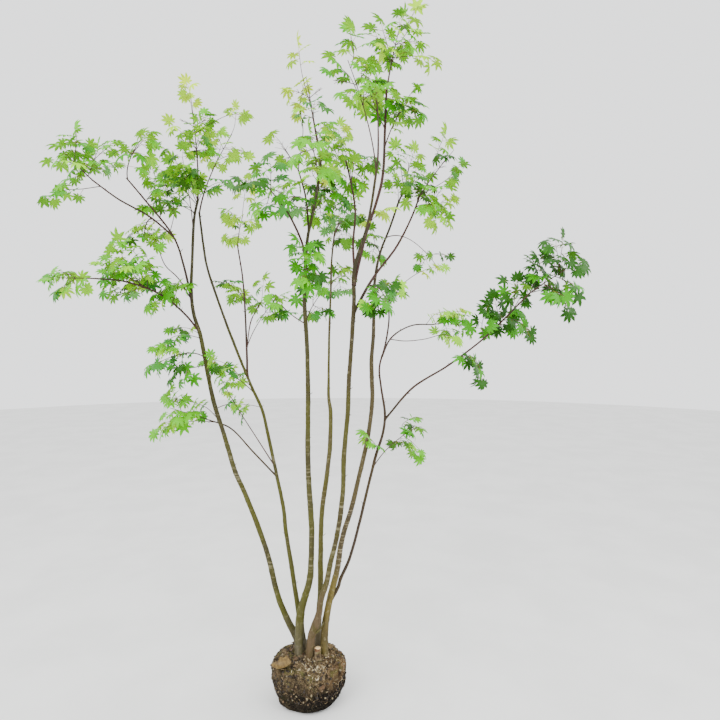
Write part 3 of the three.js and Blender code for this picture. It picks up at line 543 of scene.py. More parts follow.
def capped(rims):
    """The closed skin over rings of corners, with a flat end on the first and the last ring."""
    return sleeve(rims, rims[0].mean(axis=0), rims[-1].mean(axis=0))


def tube(path, radii, sides, relief=1.0):
    """A closed tube round a path, with a ring for each radius."""
    middles = path.places(np.linspace(0, 1, len(radii)))
    ways = np.gradient(middles, axis=0)
    ways /= np.linalg.norm(ways, axis=1, keepdims=True)
    across = np.empty_like(ways)
    side = Vector(ways[0]).orthogonal()
    for ring, way in enumerate(ways):
        way = Vector(way)
        side = (side - way * side.dot(way)).normalized()
        across[ring] = side
    other = np.cross(ways, across)
    angles = angles_round(sides)[None, :, None]
    spokes = np.cos(angles) * across[:, None] + np.sin(angles) * other[:, None]
    spread = np.asarray(radii, float)[:, None] * relief
    return sleeve(middles[:, None] + spread[..., None] * spokes, middles[0], middles[-1])


def twig(heap, path, radii, sides, spacing=RING_SPACING, tint=0):
    """A plain tapering twig along a path, with its radii in millimetres."""
    rings = max(3, round(path.length / (spacing * MM)) + 1)
    heap.add(*tube(path, np.linspace(radii[0], radii[1], rings) * MM, sides), tint)


def srgb(color):
    """A colour of 0 to 255 a channel, as light."""
    return tuple(((c / 255 + 0.055) / 1.055) ** 2.4 if c > 10 else c / 255 / 12.92 for c in color)


NOISE_ROUGHNESS = 0.55


class Shader:
    """The nodes of one material, wired by short calls. A texture's scale is in waves to a metre, a ramp's
    stop is a place from 0 to 1 with a colour or a share, and colours are of 0 to 255 a channel."""

    def __init__(self, name, roughness=0.6, specular=0.35):
        self.material = bpy.data.materials.new(name)
        self.material.use_nodes = True
        self.tree = self.material.node_tree
        self.surface = self.tree.nodes["Principled BSDF"]
        self.surface.inputs["Roughness"].default_value = roughness
        self.surface.inputs["Specular IOR Level"].default_value = specular
        self.place = self.node("ShaderNodeTexCoord").outputs["Object"]

    def node(self, kind, links=(), values=(), **settings):
        node = self.tree.nodes.new(kind)
        for key, value in settings.items():
            setattr(node, key, value)
        for socket, value in values:
            node.inputs[socket].default_value = value
        for socket, source in links:
            self.tree.links.new(source, node.inputs[socket])
        return node

    def feed(self, socket, value):
        """Links a socket to another, or sets it to a colour or a number."""
        if isinstance(value, bpy.types.NodeSocket):
            self.tree.links.new(value, socket)
        else:
            socket.default_value = (*srgb(value), 1) if isinstance(value, tuple) else value

    def stretched(self, scale):
        """The place with each axis scaled."""
        return self.node("ShaderNodeMapping", [("Vector", self.place)], [("Scale", scale)]).outputs[0]

    def noise(self, scale, detail, place=None):
        values = [("Scale", scale), ("Detail", detail), ("Roughness", NOISE_ROUGHNESS)]
        return self.node("ShaderNodeTexNoise", [("Vector", place or self.place)], values).outputs["Fac"]

    def cells(self, scale, place=None):
        """The distance to the nearest of many scattered spots."""
        links = [("Vector", place or self.place)]
        return self.node("ShaderNodeTexVoronoi", links, [("Scale", scale)]).outputs["Distance"]

    def ramp(self, source, *stops):
        """Colours or shares for a value from 0 to 1, by its stops."""
        node = self.node("ShaderNodeValToRGB", [("Fac", source)])
        elements = node.color_ramp.elements
        while len(elements) < len(stops):
            elements.new(0.5)
        for element, (position, color) in zip(elements, stops):
            element.position = position
            element.color = (*srgb(color), 1) if isinstance(color, tuple) else (color, color, color, 1)
        return node.outputs["Color"]

    def mix(self, share, one, two):
        node = self.node("ShaderNodeMix", data_type="RGBA")
        for socket, value in zip((node.inputs[0], node.inputs[6], node.inputs[7]), (share, one, two)):
            self.feed(socket, value)
        return node.outputs[2]

    def lay(self, color, other, source, *stops):
        """A colour with another laid over it, by the stops of a value."""
        return self.mix(self.ramp(source, *stops), color, other)

    def math(self, kind, one, two):
        node = self.node("ShaderNodeMath", operation=kind)
        for socket, value in zip(node.inputs, (one, two)):
            self.feed(socket, value)
        return node.outputs[0]

    def axis(self, name):
        return self.node("ShaderNodeSeparateXYZ", [("Vector", self.place)]).outputs[name]

    def span(self, source, low, high):
        """0 below low, 1 above high, and even between."""
        values = [("From Min", low), ("From Max", high)]
        return self.node("ShaderNodeMapRange", [("Value", source)], values).outputs[0]

    def finish(self, color, height, strength, depth, rough=None):
        """Feeds the colour, the height as bump, and the roughness to the surface."""
        self.feed(self.surface.inputs["Base Color"], color)
        values = [("Strength", strength), ("Distance", depth)]
        bump = self.node("ShaderNodeBump", [("Height", height)], values)
        self.feed(self.surface.inputs["Normal"], bump.outputs[0])
        if rough is not None:
            self.feed(self.surface.inputs["Roughness"], rough)
        return self.material


# Heights in metres at which the pale rings of a bark set in and fade
RING_HEIGHTS = (0.4, 0.6)
RING_FADING = (1.4, 0.9)

# Barks: colours low and high on a limb and of its patches, heights at which low turns to high, and for
# some the flecks' colour, the foot's colour with its heights, or weaker streaks
BARKS = {
    "olive": {"low": (72, 72, 12), "high": (46, 39, 20), "patch": (52, 46, 22), "turn": (1.4, 2.1)},
    "green": {"low": (77, 75, 18), "high": (48, 38, 24), "patch": (66, 54, 32), "turn": (1.5, 2.1)},
    "grey": {"low": (70, 69, 14), "high": (40, 34, 18), "patch": (56, 46, 22), "turn": (1.2, 1.9),
             "foot": (84, 68, 46), "foot_heights": (0.62, 0.42)},
    "brown": {"low": (74, 64, 32), "high": (46, 38, 21), "patch": (57, 47, 30), "turn": (1.3, 2.0),
              "fleck": (148, 138, 110), "foot": (108, 95, 38), "foot_heights": (0.8, 0.5)},
    "young": {"low": (62, 50, 26), "high": (62, 35, 28), "patch": (50, 38, 26), "turn": (0.9, 1.6),
              "fleck": (76, 60, 44), "streak": 0.1},
}
BARK_OF = {"stem_d": "green", "stem_e": "grey", "stem_f": "brown", "stem_g": "young"}


def bark_material(name, low, high, patch, turn, fleck=(124, 118, 88),
                  foot=(98, 91, 72), foot_heights=(0.37, 0.25), streak=0.5):
    """Smooth young bark: its colour changes with height from turn[0] to turn[1] and is another at the foot,
    with long streaks, weathered stretches and patches, and pale rings and flecks that lie across."""
    shader = Shader(name, specular=0.25)
    height = shader.axis("Z")
    color = shader.mix(shader.span(height, *turn), low, high)
    color = shader.mix(shader.span(height, *foot_heights), color, foot)
    streaks = shader.noise(1, 3, shader.stretched((130, 130, 6)))
    color = shader.lay(color, patch, streaks, (0.36, 0.0), (0.68, streak))
    stretches = shader.noise(3.4, 2)
    weathered = shader.ramp(stretches, (0.47, 0.0), (0.58, 0.8))
    color = shader.mix(weathered, color, patch)
    patches = shader.noise(22, 4)
    color = shader.lay(color, shader.mix(0.55, patch, low), patches, (0.52, 0.0), (0.64, 0.6))
    bands = shader.noise(1, 2, shader.stretched((9, 9, 150)))
    rings = shader.ramp(bands, (0.56, 0.0), (0.62, streak * 2))
    for heights in (RING_HEIGHTS, RING_FADING):
        rings = shader.math("MULTIPLY", rings, shader.span(height, *heights))
    color = shader.mix(shader.math("MULTIPLY", rings, weathered), color, fleck)
    crusts = shader.ramp(shader.noise(75, 4), (0.58, 0.0), (0.66, 0.75))
    color = shader.mix(shader.math("MULTIPLY", crusts, stretches), color, fleck)
    spots = shader.cells(1, shader.stretched((260, 260, 420)))
    color = shader.lay(color, fleck, spots, (0.1, 0.6), (0.2, 0.0))
    grain = shader.noise(1, 6, shader.stretched((700, 700, 160)))
    relief = shader.mix(0.35, grain, shader.ramp(spots, (0.1, 1.0), (0.22, 0.3)))
    rough = shader.ramp(patches, (0.4, 0.5), (0.65, 0.8))
    return shader.finish(color, relief, 0.5, 0.0008, rough)


def grained(name, color, other):
    """Two tones of one colour in patches, with a fine grain: for twigs, stalks, crumbs and flakes."""
    shader = Shader(name)
    tone = shader.noise(90, 3)
    mixed = shader.lay(color, other, tone, (0.35, 0.0), (0.7, 1.0))
    rough = shader.ramp(tone, (0.3, 0.4), (0.7, 0.6))
    return shader.finish(mixed, shader.noise(900, 2), 0.25, 0.0004, rough)


def leaf_material(name, color, roughness):
    """One plain tint of leaf, with fine veins in its relief."""
    shader = Shader(name, roughness, 0.2)
    veins = shader.ramp(shader.cells(420), (0.0, 0.0), (0.4, 1.0))
    return shader.finish(color, veins, 0.25, 0.0005)


# Leaf tints, each with its upper and its under side, and the tints that sprays of each tone take. An under
# side's tint is partly the leaf's own paler under side and partly a painted glow of light shining through the
# leaf.
TINTS = {
    "bright": ((92, 174, 0), (128, 188, 24)),
    "light": ((140, 206, 0), (160, 210, 34)),
    "middle": ((60, 142, 0), (102, 162, 30)),
    # The deep and shade tints are partly darker leaves and partly painted shade for leaves inside and under
    # the crown.
    "deep": ((34, 86, 0), (62, 112, 12)),
    "shade": ((50, 124, 32), (104, 166, 80)),
    "lime": ((164, 212, 0), (174, 214, 36)),
    "yellow": ((186, 224, 0), (196, 222, 36)),
}
TONES = {
    "bright": ("bright", "middle", "bright", "light", "bright"),
    "light": ("light", "lime", "bright", "light", "yellow"),
    "mixed": ("bright", "middle", "light", "deep", "shade", "middle"),
    "deep": ("middle", "deep", "bright", "middle", "shade"),
    # The dusk tone gives the low bough's leaves the darkest tints: partly darker leaves, partly painted shade
    # under the crown.
    "dusk": ("deep", "middle", "deep"),
    "shade": ("shade", "middle"),
    "fresh": ("bright", "light", "lime", "bright", "middle"),
    "lime": ("lime", "light"),
    "yellow": ("yellow", "yellow", "lime"),
    "young": ("yellow", "lime", "lime", "light", "yellow"),
}
TINT_NAMES = list(TINTS)
LEAF_SIDES = (("top", 0.42), ("under", 0.6))


def leaf_materials():
    """Each tint's upper side and under side, in turn; the under side's colour is partly a painted glow of
    light through the leaf.
    """
    return [leaf_material(f"leaf_{name}_{side}", color, roughness)
            for name in TINT_NAMES for color, (side, roughness) in zip(TINTS[name], LEAF_SIDES)]


def tint_of(tone, draw):
    """The number of one of a tone's tints."""
    return TINT_NAMES.index(TONES[tone][int(draw() * len(TONES[tone]))])


# A leaf's lobe by shares of its length: the toothed edge as (along, half width), the places along its
# rib, and the notch between two lobes; then how far the lobes spread round the stalk, how much shorter
# the outer ones are, and how far each one's angle, length and tip stray
LOBE_EDGE = ((0.57, 0.155), (0.7, 0.165), (0.71, 0.135), (0.85, 0.105), (0.86, 0.07))
LOBE_RIB = (0.38, 0.6, 0.8)
NOTCH = 0.48
NOTCH_LIFT = 0.08
LOBE_SPREAD = math.radians(146)
LOBE_LEAST = 0.56
LOBE_FALL = 2.2
LOBE_SWING = 0.06
LOBE_LENGTHS = (0.92, 1.04)
LOBE_LIFT = 0.03

# Forms of leaf: lobes, how far their halves fold up, how far the leaf droops and cups, and its seed
LEAF_SHAPES = (
    (9, 0.3, 0.22, 0.0, 3), (9, 0.45, 0.38, 0.1, 5), (9, 0.2, 0.5, -0.15, 7),
    (7, 0.35, 0.3, 0.0, 13), (9, 0.55, 0.15, 0.2, 17), (11, 0.25, 0.35, 0.0, 19),
)


def leaf_form(lobes, fold, droop, cup, seed):
    """One leaf of radius 1: its stalk joins at the origin, it points along +X and faces up.
    The answer is its corners, its triangles, and which of them are on the under side."""
    draw = seeded(seed)
    half = (lobes - 1) / 2
    step = LOBE_SPREAD / half
    corners = [(0, 0, 0)]
    faces = []
    below = []

    def corner(angle, along, wide, length, lift):
        x = along * length
        y = wide * length
        px = x * math.cos(angle) - y * math.sin(angle)
        py = x * math.sin(angle) + y * math.cos(angle)
        sag = droop * x * x - cup * py * py
        corners.append((px, py, lift + fold * abs(y) - sag))
        return len(corners) - 1

    def length_of(number):
        return lerp(1, LOBE_LEAST, abs(number / half) ** LOBE_FALL)

    notches = []
    for number in np.arange(-half - 0.5, half + 1):
        inner = abs(number) < half
        length = min(length_of(number - 0.5), length_of(number + 0.5)) if inner else LOBE_LEAST
        notches.append(corner(number * step, NOTCH, 0, length, fold * NOTCH_LIFT))
    for number in range(lobes):
        angle = (number - half) * step + stray(draw, LOBE_SWING)
        length = length_of(number - half) * lerp(*LOBE_LENGTHS, draw())
        lift = stray(draw, LOBE_LIFT)
        tip = corner(angle, 1, 0, length, lift)
        upper, lower = (
            [corner(angle, along, 0, length, lift * along + proud) for along in LOBE_RIB]
            for proud in (LEAF_THICKNESS / 2, -LEAF_THICKNESS / 2))
        for side, notch in ((-1, notches[number]), (1, notches[number + 1])):
            edge = [corner(angle, along, side * wide, length, lift * along) for along, wide in LOBE_EDGE]
            for under, rib in enumerate((upper, lower)):
                fan = [(0, rib[0], notch), (rib[0], edge[0], notch), (rib[0], rib[1], edge[0]),
                       (rib[1], edge[1], edge[0]), (rib[1], edge[2], edge[1]), (rib[1], rib[2], edge[2]),
                       (rib[2], edge[3], edge[2]), (rib[2], edge[4], edge[3]), (rib[2], tip, edge[4])]
                turned = (side > 0) == bool(under)
                faces += [(a, c, b) if turned else (a, b, c) for a, b, c in fan]
                below += [under] * len(fan)
    return np.array(corners), np.array(faces), np.array(below)


LEAF_FORMS = [leaf_form(*shape) for shape in LEAF_SHAPES]

# Limbs and the paths of limbs and masses, by name
limbs = {}
paths = {}


def nearest(line, target, seen=lambda places: places):
    """The place of a path whose own place, or what is seen of it, is nearest to a target."""
    places = line.places(np.linspace(0, 1, SEAT_SAMPLES))
    return Vector(places[np.linalg.norm(seen(places) - np.array(target), axis=1).argmin()])


def limb_path(on, route):
    """The path through some places in millimetres, from the middle of the limb that carries it."""
    places = [Vector(place) * MM for place in route]
    if on:
        places[0] = nearest(paths[on], places[0])
    return Path(catmull_rom(places))


def place_at(u, v, y):
    """The place that shows at a pixel of the photograph and lies at y."""
    way = SIGHT @ Vector((u - PICTURE / 2, PICTURE / 2 - v, -FOCAL))
    return EYE + way * ((y - EYE.y) / way.y)


def pixels_of(places):
    """The pixels of the photograph that some places show at."""
    seen = (places - np.array(EYE)) @ np.array(SIGHT)
    return PICTURE / 2 + FOCAL * seen[:, :2] / seen[:, 2:] * (-1, 1)


def shoot_path(on, foot, *bends):
    """A shoot's path from what carries it, through the places that show at its pixels."""
    base = nearest(paths[on], foot, pixels_of)
    places = [place_at(u, v, base.y + beyond * MM) for u, v, beyond in bends]
    return Path(catmull_rom([base, *places], SHOOT_STEPS))


# Bark relief: the sides and the spacing of its rings, waves round and along the limb by (around, along,
# height), and swellings at old leaf scars, partly even and partly uneven round it and lower on boughs
STEM_SIDES = 18
BOUGH_SIDES = 12
BARK_SPACING = 5
BARK_PROUD = 1.05
BARK_WAVES = ((2, 23, 0.035), (3, 41, 0.03), (5, 67, 0.02), (7, 130, 0.012), (4, 310, 0.01))
WAVE_DRIFT = 0.4
ANY_PHASE = 6
SCAR_SPACING = (70, 150)
SCAR_SWELL = 0.11
SCAR_LENGTH = 4
SCAR_SHAPE = (0.7, 0.3)
BOUGH_SCARRING = 0.5

# Dry spurs: where they start along a limb, the gaps between them, their lengths, radii and rings, how far
# they lean along the limb, and the place and length of the hook at their end
SPURS_FROM = 0.12
SPUR_GAPS = (60, 300)
SPUR_LENGTHS = (4, 16)
SPUR_RADII = (1.7, 1)
SPUR_SIDES = 6
SPUR_SPACING = 3
SPUR_LEAN = 0.7
SPUR_KNEE = 0.6
SPUR_HOOK = 1

# The length in metres of the stretches that stand for a limb where leaves keep clear of it
STRETCH = 0.06


class Limb:
    """A stem or bough: its path and its radius along it."""

    def __init__(self, name, on, route):
        self.name = name
        self.path = limb_path(on, [place[:3] for place in route])
        self.marks = self.path.runs[::ROUTE_STEPS] / self.path.length
        self.radii = np.array([place[3] for place in route]) * MM
        self.collar = COLLAR if on else 0
        self.scarring = BOUGH_SCARRING if on else 1

    def radius(self, shares):
        """The radii at some shares of its length."""
        swelling = 1 + self.collar * np.exp(-shares * self.path.length / (COLLAR_LENGTH * MM))
        return np.interp(shares, self.marks, self.radii) * swelling

    def stretches(self):
        """The limb as straight stretches: their ends and radii."""
        count = max(2, math.ceil(self.path.length / STRETCH))
        places = self.path.places(np.linspace(0, 1, count + 1))
        return places[:-1], places[1:], self.radius(np.arange(count) / count)


def bark_relief(limb, rings, sides, seed):
    """How far each place on a limb's bark stands out, as a share of its radius."""
    draw = seeded(seed)
    runs = np.linspace(0, limb.path.length, rings)[:, None]
    angles = angles_round(sides)
    relief = np.full((rings, sides), BARK_PROUD)
    for around, along, height in BARK_WAVES:
        phase = draw() * math.tau
        drift = np.sin(runs * along * WAVE_DRIFT + draw() * ANY_PHASE)
        relief += height * np.sin(around * angles + runs * along + phase + drift)
    even, uneven = SCAR_SHAPE
    scar = 0.0
    while scar < limb.path.length:
        scar += lerp(*SCAR_SPACING, draw()) * MM
        shape = np.exp(-(((runs - scar) / (SCAR_LENGTH * MM)) ** 2))
        swell = even + uneven * np.cos(2 * angles + draw() * ANY_PHASE)
        relief += SCAR_SWELL * limb.scarring * shape * swell
    return relief


def make_limb(limb, material, slot, seed):
    """A limb's bark, with short dry spurs that stand out here and there."""
    draw = seeded(seed + SPUR_SEEDS)
    sides = STEM_SIDES if limb.name.startswith("stem") else BOUGH_SIDES
    rings = round(limb.path.length / (BARK_SPACING * MM)) + 1
    radii = limb.radius(np.linspace(0, 1, rings))
    heap = Heap()
    heap.add(*tube(limb.path, radii, sides, bark_relief(limb, rings, sides, seed)))
    share = SPURS_FROM
    while True:
        share += lerp(*SPUR_GAPS, draw()) * MM / limb.path.length
        if share > 1:
            break
        foot, way = limb.path.place(share), limb.path.way(share)
        out = Matrix.Rotation(draw() * math.tau, 3, way) @ way.orthogonal().normalized()
        length = limb.radius(share) + lerp(*SPUR_LENGTHS, draw()) * MM
        tip = foot + (out + way * SPUR_LEAN).normalized() * length
        spur = Path([foot, lerp(foot, tip, SPUR_KNEE), tip + way * (SPUR_HOOK * MM)])
        twig(heap, spur, SPUR_RADII, SPUR_SIDES, SPUR_SPACING)
    heap.piece(f"{limb.name}_bark", [material], slot, [limb.name])


# What stands for the squared length of a stretch that is only a place
TINY = 1e-12


class Obstacles:
    """Round stretches that leaves keep clear of."""

    def __init__(self):
        self.a = np.zeros((0, 3))
        self.b = np.zeros((0, 3))
        self.r = np.zeros(0)

    def add(self, a, b, r):
        self.a = np.vstack([self.a, a])
        self.b = np.vstack([self.b, b])
        self.r = np.concatenate([self.r, np.atleast_1d(r)])

    def clear(self, point, room):
        """Whether a place keeps some room from all of them."""
        span = self.b - self.a
        offset = np.array(point) - self.a
        length = np.maximum((span * span).sum(axis=1), TINY)
        share = np.clip((offset * span).sum(axis=1) / length, 0, 1)
        gaps = np.linalg.norm(offset - span * share[:, None], axis=1)
        return bool((gaps > self.r + room).all())


wood_around = Obstacles()
leaves_around = Obstacles()

# A place where leaves stand: whether they are a pair or the three at an end, the place, the twig's way
# there, and the number of their spray
Node = namedtuple("Node", "pair root way spray")


def leafy_nodes(shoot, first, spacing, spray):
    """Where leaves stand along a shoot: in pairs from its first place on, and three at its end."""
    steps = max(1, round((1 - first) * shoot.length / (spacing * MM)))
    shares = [lerp(first, 1, step / steps) for step in range(steps)]
    pairs = [Node(True, shoot.place(share), shoot.way(share), spray) for share in shares]
    return [*pairs, Node(False, shoot.place(1), shoot.way(1), spray)]


def add_leaf(leaf_heap, twig_heap, node, palm, way, faced, radius, form, tint):
    """A leaf on its stalk, which joins at palm; way is the blade's, and its upper side is faced."""
    stalk = palm - node.root
    knee = lerp(node.root, palm, 0.5) + (stalk.normalized() - way) * stalk.length * STALK_BOW
    stalk_path = bend(node.root, knee, palm, LEAF_STALK.steps)
    twig(twig_heap, stalk_path, LEAF_STALK.radii, LEAF_STALK.sides, tint=1)
    basis = np.array([way, faced.cross(way), faced])
    corners, faces, below = LEAF_FORMS[form]
    leaf_heap.add(corners @ basis * radius + np.array(palm), faces, tint * 2 + below)


def try_leaf(node, angle, tone, tint, fits, draw, heaps):
    """A leaf at an angle from a node, if it fits where its draws put it; the answer is whether it does."""
    level = node.way.cross(UP).normalized()
    out = node.way * math.cos(angle) + level * math.sin(angle)
    out += Vector((stray(draw, LEAF_STRAY), stray(draw, LEAF_STRAY), -LEAF_DROOP * draw()))
    out.normalize()
    radius = LEAF_RADIUS * MM * lerp(*LEAF_SIZES, draw()) * (YOUNG_SIZE if tone == "young" else 1)
    palm = node.root + out * (lerp(*STALK_LENGTHS, draw()) * MM)
    hang = float(np.interp(palm.z, HANG_HEIGHTS[::-1], (1, 0))) * HANG_SHARES.get(tone, HANG_LEAST)
    blade = (out - UP * (BLADE_DROOP * draw() * (1 + hang))).normalized()
    faced = Vector((palm.x, palm.y, 0)).normalized() * LEAF_OUTWARD
    faced += Vector((stray(draw, LEAF_TILT), stray(draw, LEAF_TILT) - HANG_FORWARD * hang,
                     lerp(LEAF_LEVEL, HANG_LEVEL, hang)))
    faced = (faced - blade * faced.dot(blade)).normalized()
    middle = palm + blade * (radius * LEAF_MIDDLE)
    if not (fits(palm) and leaves_around.clear(middle, radius * LEAF_ROOM)
            and wood_around.clear(middle, radius * LIMB_ROOM)):
        return False
    form = int(draw() * len(LEAF_FORMS))
    add_leaf(*heaps, node, palm, blade, faced, radius, form, tint)
    leaves_around.add(middle, middle, radius * LEAF_ROOM)
    return True


def hang_leaves(nodes, count, tone, tints, fits, draw, heaps):
    """Leaves on their stalks at some nodes, where they fit, until there are enough of them."""
    grown = 0
    for node in nodes:
        for angle in PAIR_ANGLES if node.pair else END_ANGLES:
            for _ in range(LEAF_TRIES):
                if grown == count:
                    return
                if try_leaf(node, angle, tone, tints[node.spray], fits, draw, heaps):
                    grown += 1
                    break


def grow_shoot(number, on, count, tone, *spots, heaps):
    """A slender shoot that leaves its limb, with leaves at its end and in pairs behind it."""
    draw = seeded(FIRST_SEED + SHOOT_SEEDS + number)
    shoot = shoot_path(on, *spots)
    twig(heaps[1], shoot, (SHOOT_TIP + shoot.length / MM * SHOOT_TAPER, SHOOT_TIP), SHOOT_SIDES)
    nodes = leafy_nodes(shoot, SHOOT_LEAVES_FROM, SHOOT_SPACING, 0)[::-1]
    nodes = [node._replace(spray=spray) for spray, node in enumerate(nodes)]
    tints = [tint_of(tone, draw) for _ in nodes]
    hang_leaves(nodes, count, tone, tints, lambda palm: True, draw, heaps)


class Mass:
    """A mass of foliage: a twig that leaves its limb and forks in opposite pairs, as in the solids, carried
    on to finer twigs, with leaves in pairs along them and three at each end."""

    def __init__(self, name, heaps):
        number = list(FOLIAGE).index(name)
        self.name = name
        self.on, self.at, middle, size, self.pairs, self.count, self.tone = FOLIAGE[name]
        self.middle = Vector(middle) * MM
        self.size = Vector(size) * MM
        self.fork_draw = seeded(FIRST_SEED + number)
        self.draw = seeded(FIRST_SEED + DETAIL_SEEDS + number)
        self.heaps = heaps
        self.nodes = []
        self.sprays = 0

    def depth(self, place):
        """How far out in the mass's space a place lies, from 0 in its middle to 1 at its edge."""
        return Vector((p / s for p, s in zip(place - self.middle, self.size))).length

    def add_twig(self, path, kind, leaves_from, spacing=LEAF_SPACING, radii=None):
        """A twig of some kind, with a spray of its own."""
        twig(self.heaps[1], path, radii or kind.radii, kind.sides)
        self.nodes += leafy_nodes(path, leaves_from, spacing, self.sprays)
        self.sprays += 1

    def grow_stem(self):
        """The mass's own stem; the answer is its path and the share of it where its forks start."""
        limb = limbs[self.on]
        foot = limb.path.place(self.at)
        limb_way = limb.path.way(self.at)
        radius, tip_radius = STEM_TWIG.radii
        if self.at == 1:
            foot -= limb_way * (TWIG_SINK * MM)
            radius = limb.radii[-1] / MM * TIP_SHARE
        toward = self.middle - foot
        span = toward.length
        toward.normalize()
        knee = foot + (limb_way + toward).normalized() * (span * STEM_KNEE)
        crest = self.middle + Vector((t * s for t, s in zip(toward, self.size))) * STEM_CREST
        stem = bend(foot, knee, crest, STEM_TWIG.steps)
        places = stem.places(np.linspace(0, 1, ENTRY_SAMPLES + 1))
        entry = next(n for n, place in enumerate(places) if self.depth(Vector(place)) < 1)
        first = max(entry / ENTRY_SAMPLES, FORK_START)
        self.add_twig(stem, STEM_TWIG, first, STEM_LEAF_SPACING, (radius, tip_radius))
        paths[self.name] = stem
        return stem, first

    def grow_fine_twig(self, side_twig, way, length, place, hand):
        """A fine twig off a side twig, where it stays in the mass's space; hand is its side, 1 or -1."""
        level = way.cross(UP).normalized()
        fine_way = way * math.cos(FINE_ANGLE) + level * (hand * math.sin(FINE_ANGLE))
        fine_way = (fine_way + UP * stray(self.draw, FINE_STRAY)).normalized()
        fine_length = length * FINE_SHARE * lerp(*FINE_SHARES, self.draw()) * (FINE_FALL - place)
        fine_length = max(fine_length, FINE_SHORTEST * MM)
        base = side_twig.place(place)
        end = base + fine_way * fine_length
        if self.depth(end) <= 1:
            bow = base + (fine_way + UP * FINE_BOW) * (fine_length / 2)
            self.add_twig(bend(base, bow, end, FINE_TWIG.steps), FINE_TWIG, FINE_LEAVES_FROM)

    def fork(self, node, way):
        """A side twig, as long as its way through the mass's space allows, with its fine twigs."""
        room = 0
        while self.depth(node + way * (room * MM)) < 1:
            room += ROOM_STEP
        length = min(room * FORK_REACH * (1 + stray(self.fork_draw, FORK_STRAY)), LONGEST_TWIG)
        length = max(length, SHORTEST_TWIG) * MM
        bow = node + (way + UP * SIDE_TWIG_BOW) * (length / 2)
        side_twig = bend(node, bow, node + way * length, SIDE_TWIG.steps)
        self.add_twig(side_twig, SIDE_TWIG, SIDE_LEAVES_FROM)
        for place in FINE_PLACES:
            for hand in (-1, 1):
                self.grow_fine_twig(side_twig, way, length, place, hand)

    def grow(self):
        """The mass's stem, its forks and its leaves."""
        stem, first = self.grow_stem()
        spin = self.fork_draw() * math.pi
        for pair in range(self.pairs):
            share = lerp(first, FORK_END, (pair + FORK_PLACE) / self.pairs)
            stem_way = stem.way(share)
            turn = UP.rotation_difference(stem_way)
            spin += math.pi / 2 + stray(self.fork_draw, FORK_TURN)
            for half in (0, math.pi):
                out = turn @ Vector((math.cos(spin + half), math.sin(spin + half), 0))
                way = stem_way * math.cos(FORK_ANGLE) + out * math.sin(FORK_ANGLE)
                self.fork(stem.place(share), (way - UP * TWIG_DROOP).normalized())
        self.hang()

    def hang(self):
        """The mass's leaves, at outer places first; a young mass has the mixed tone below its middle."""
        tops = [max((node.root.z for node in self.nodes if node.spray == spray), default=0)
                for spray in range(self.sprays + 1)]
        low_tone = "mixed" if self.tone == "young" else self.tone
        tints = [tint_of(low_tone if top < self.middle.z else self.tone, self.draw) for top in tops]
        self.nodes.sort(key=lambda node: node.pair * PAIR_DELAY - self.depth(node.root) + self.draw())
        hang_leaves(self.nodes, self.count, self.tone, tints,
                    lambda palm: self.depth(palm) < DEEPEST, self.draw, self.heaps)


def family_of(name):
    """The letter of the stem that a limb or mass belongs to."""
    return name[0] if name in FOLIAGE else name.split("_")[1]


def grow_family(family, young_heap, leaf_skins, twig_skins):
    """A stem's leaves and its twigs, joined into a piece of each; its young leaves go to a heap apart."""
    leaf_heap = Heap()
    twig_heap = Heap()
    names = [name for name in FOLIAGE if family_of(name) == family]
    for name in names:
        Mass(name, (young_heap if name in YOUNG_FOLIAGE else leaf_heap, twig_heap)).grow()
    for number, shoot in enumerate(SHOOTS):
        if family_of(shoot[0]) == family:
            grow_shoot(number, *shoot, heaps=(leaf_heap, twig_heap))
    for on, radii, skin, *spots in BARE_SHOOTS:
        if family_of(on) == family:
            twig(twig_heap, shoot_path(on, *spots), radii, BARE_SIDES, BARE_SPACING, skin)
    grown_up = [f"foliage_{name}" for name in names if name not in YOUNG_FOLIAGE]
    leaf_heap.piece(f"leaves_{family}", leaf_skins, "leaf", grown_up, False)
    twig_heap.piece(f"twigs_{family}", twig_skins, "young_bark")


# Root ball: its side and top by shares of radius and height, waves round it by (count, turn, start), and
# how far its lumps stand out and how soon they rise
BALL_HEIGHT = 200
BALL_RADIUS = 162
BALL_DEPTH = 0.87
BALL_SIDE = ((0.72, 0), (0.86, 0.12), (0.96, 0.4), (1, 0.72), (0.94, 0.88), (0.66, 1))
BALL_TOP = ((0.3, 1.01), (0.0, 1.015))
BALL_WAVES = ((3, 0, -0.4), (5, 2, 0.6), (8, -3, 2))
BALL_LUMP = 4
BALL_LUMP_RISE = 0.8
PROFILE_STEPS = 12
BALL_AROUND = 300
BALL_ALONG = 170

# Soil: waves to a metre and height in metres of its clods, of the pits between its lumps and of its
# grain, how far it stands out in all, and up to where it is flat and how much higher it is fully rough
CLODS = (26, 0.0065)
PITS = (70, 0.009)
GRAIN = (190, 0.0018)
SOIL_PROUD = 0.002
FLAT_HEIGHT = 0.001
ROUGH_HEIGHT = 0.02


def spline(points, steps):
    """The even curve through flat points, as a close line."""
    points = [np.array(point, float) for point in points]
    ends = [points[0], *points, points[-1]]
    line = []
    for p0, p1, p2, p3 in zip(ends, ends[1:], ends[2:], ends[3:]):
        line += [hermite(p1, p2, (p2 - p0) / 2, (p3 - p1) / 2, step / steps) for step in range(steps)]
    return np.array([*line, points[-1]])


ball_profile = np.vstack([(0, 0), spline(BALL_SIDE, PROFILE_STEPS), BALL_TOP])
ball_profile *= (BALL_RADIUS * MM, BALL_HEIGHT * MM)
ball_runs = runs_along(ball_profile)
ball_length = float(ball_runs[-1]) / MM
ball_runs /= ball_runs[-1]


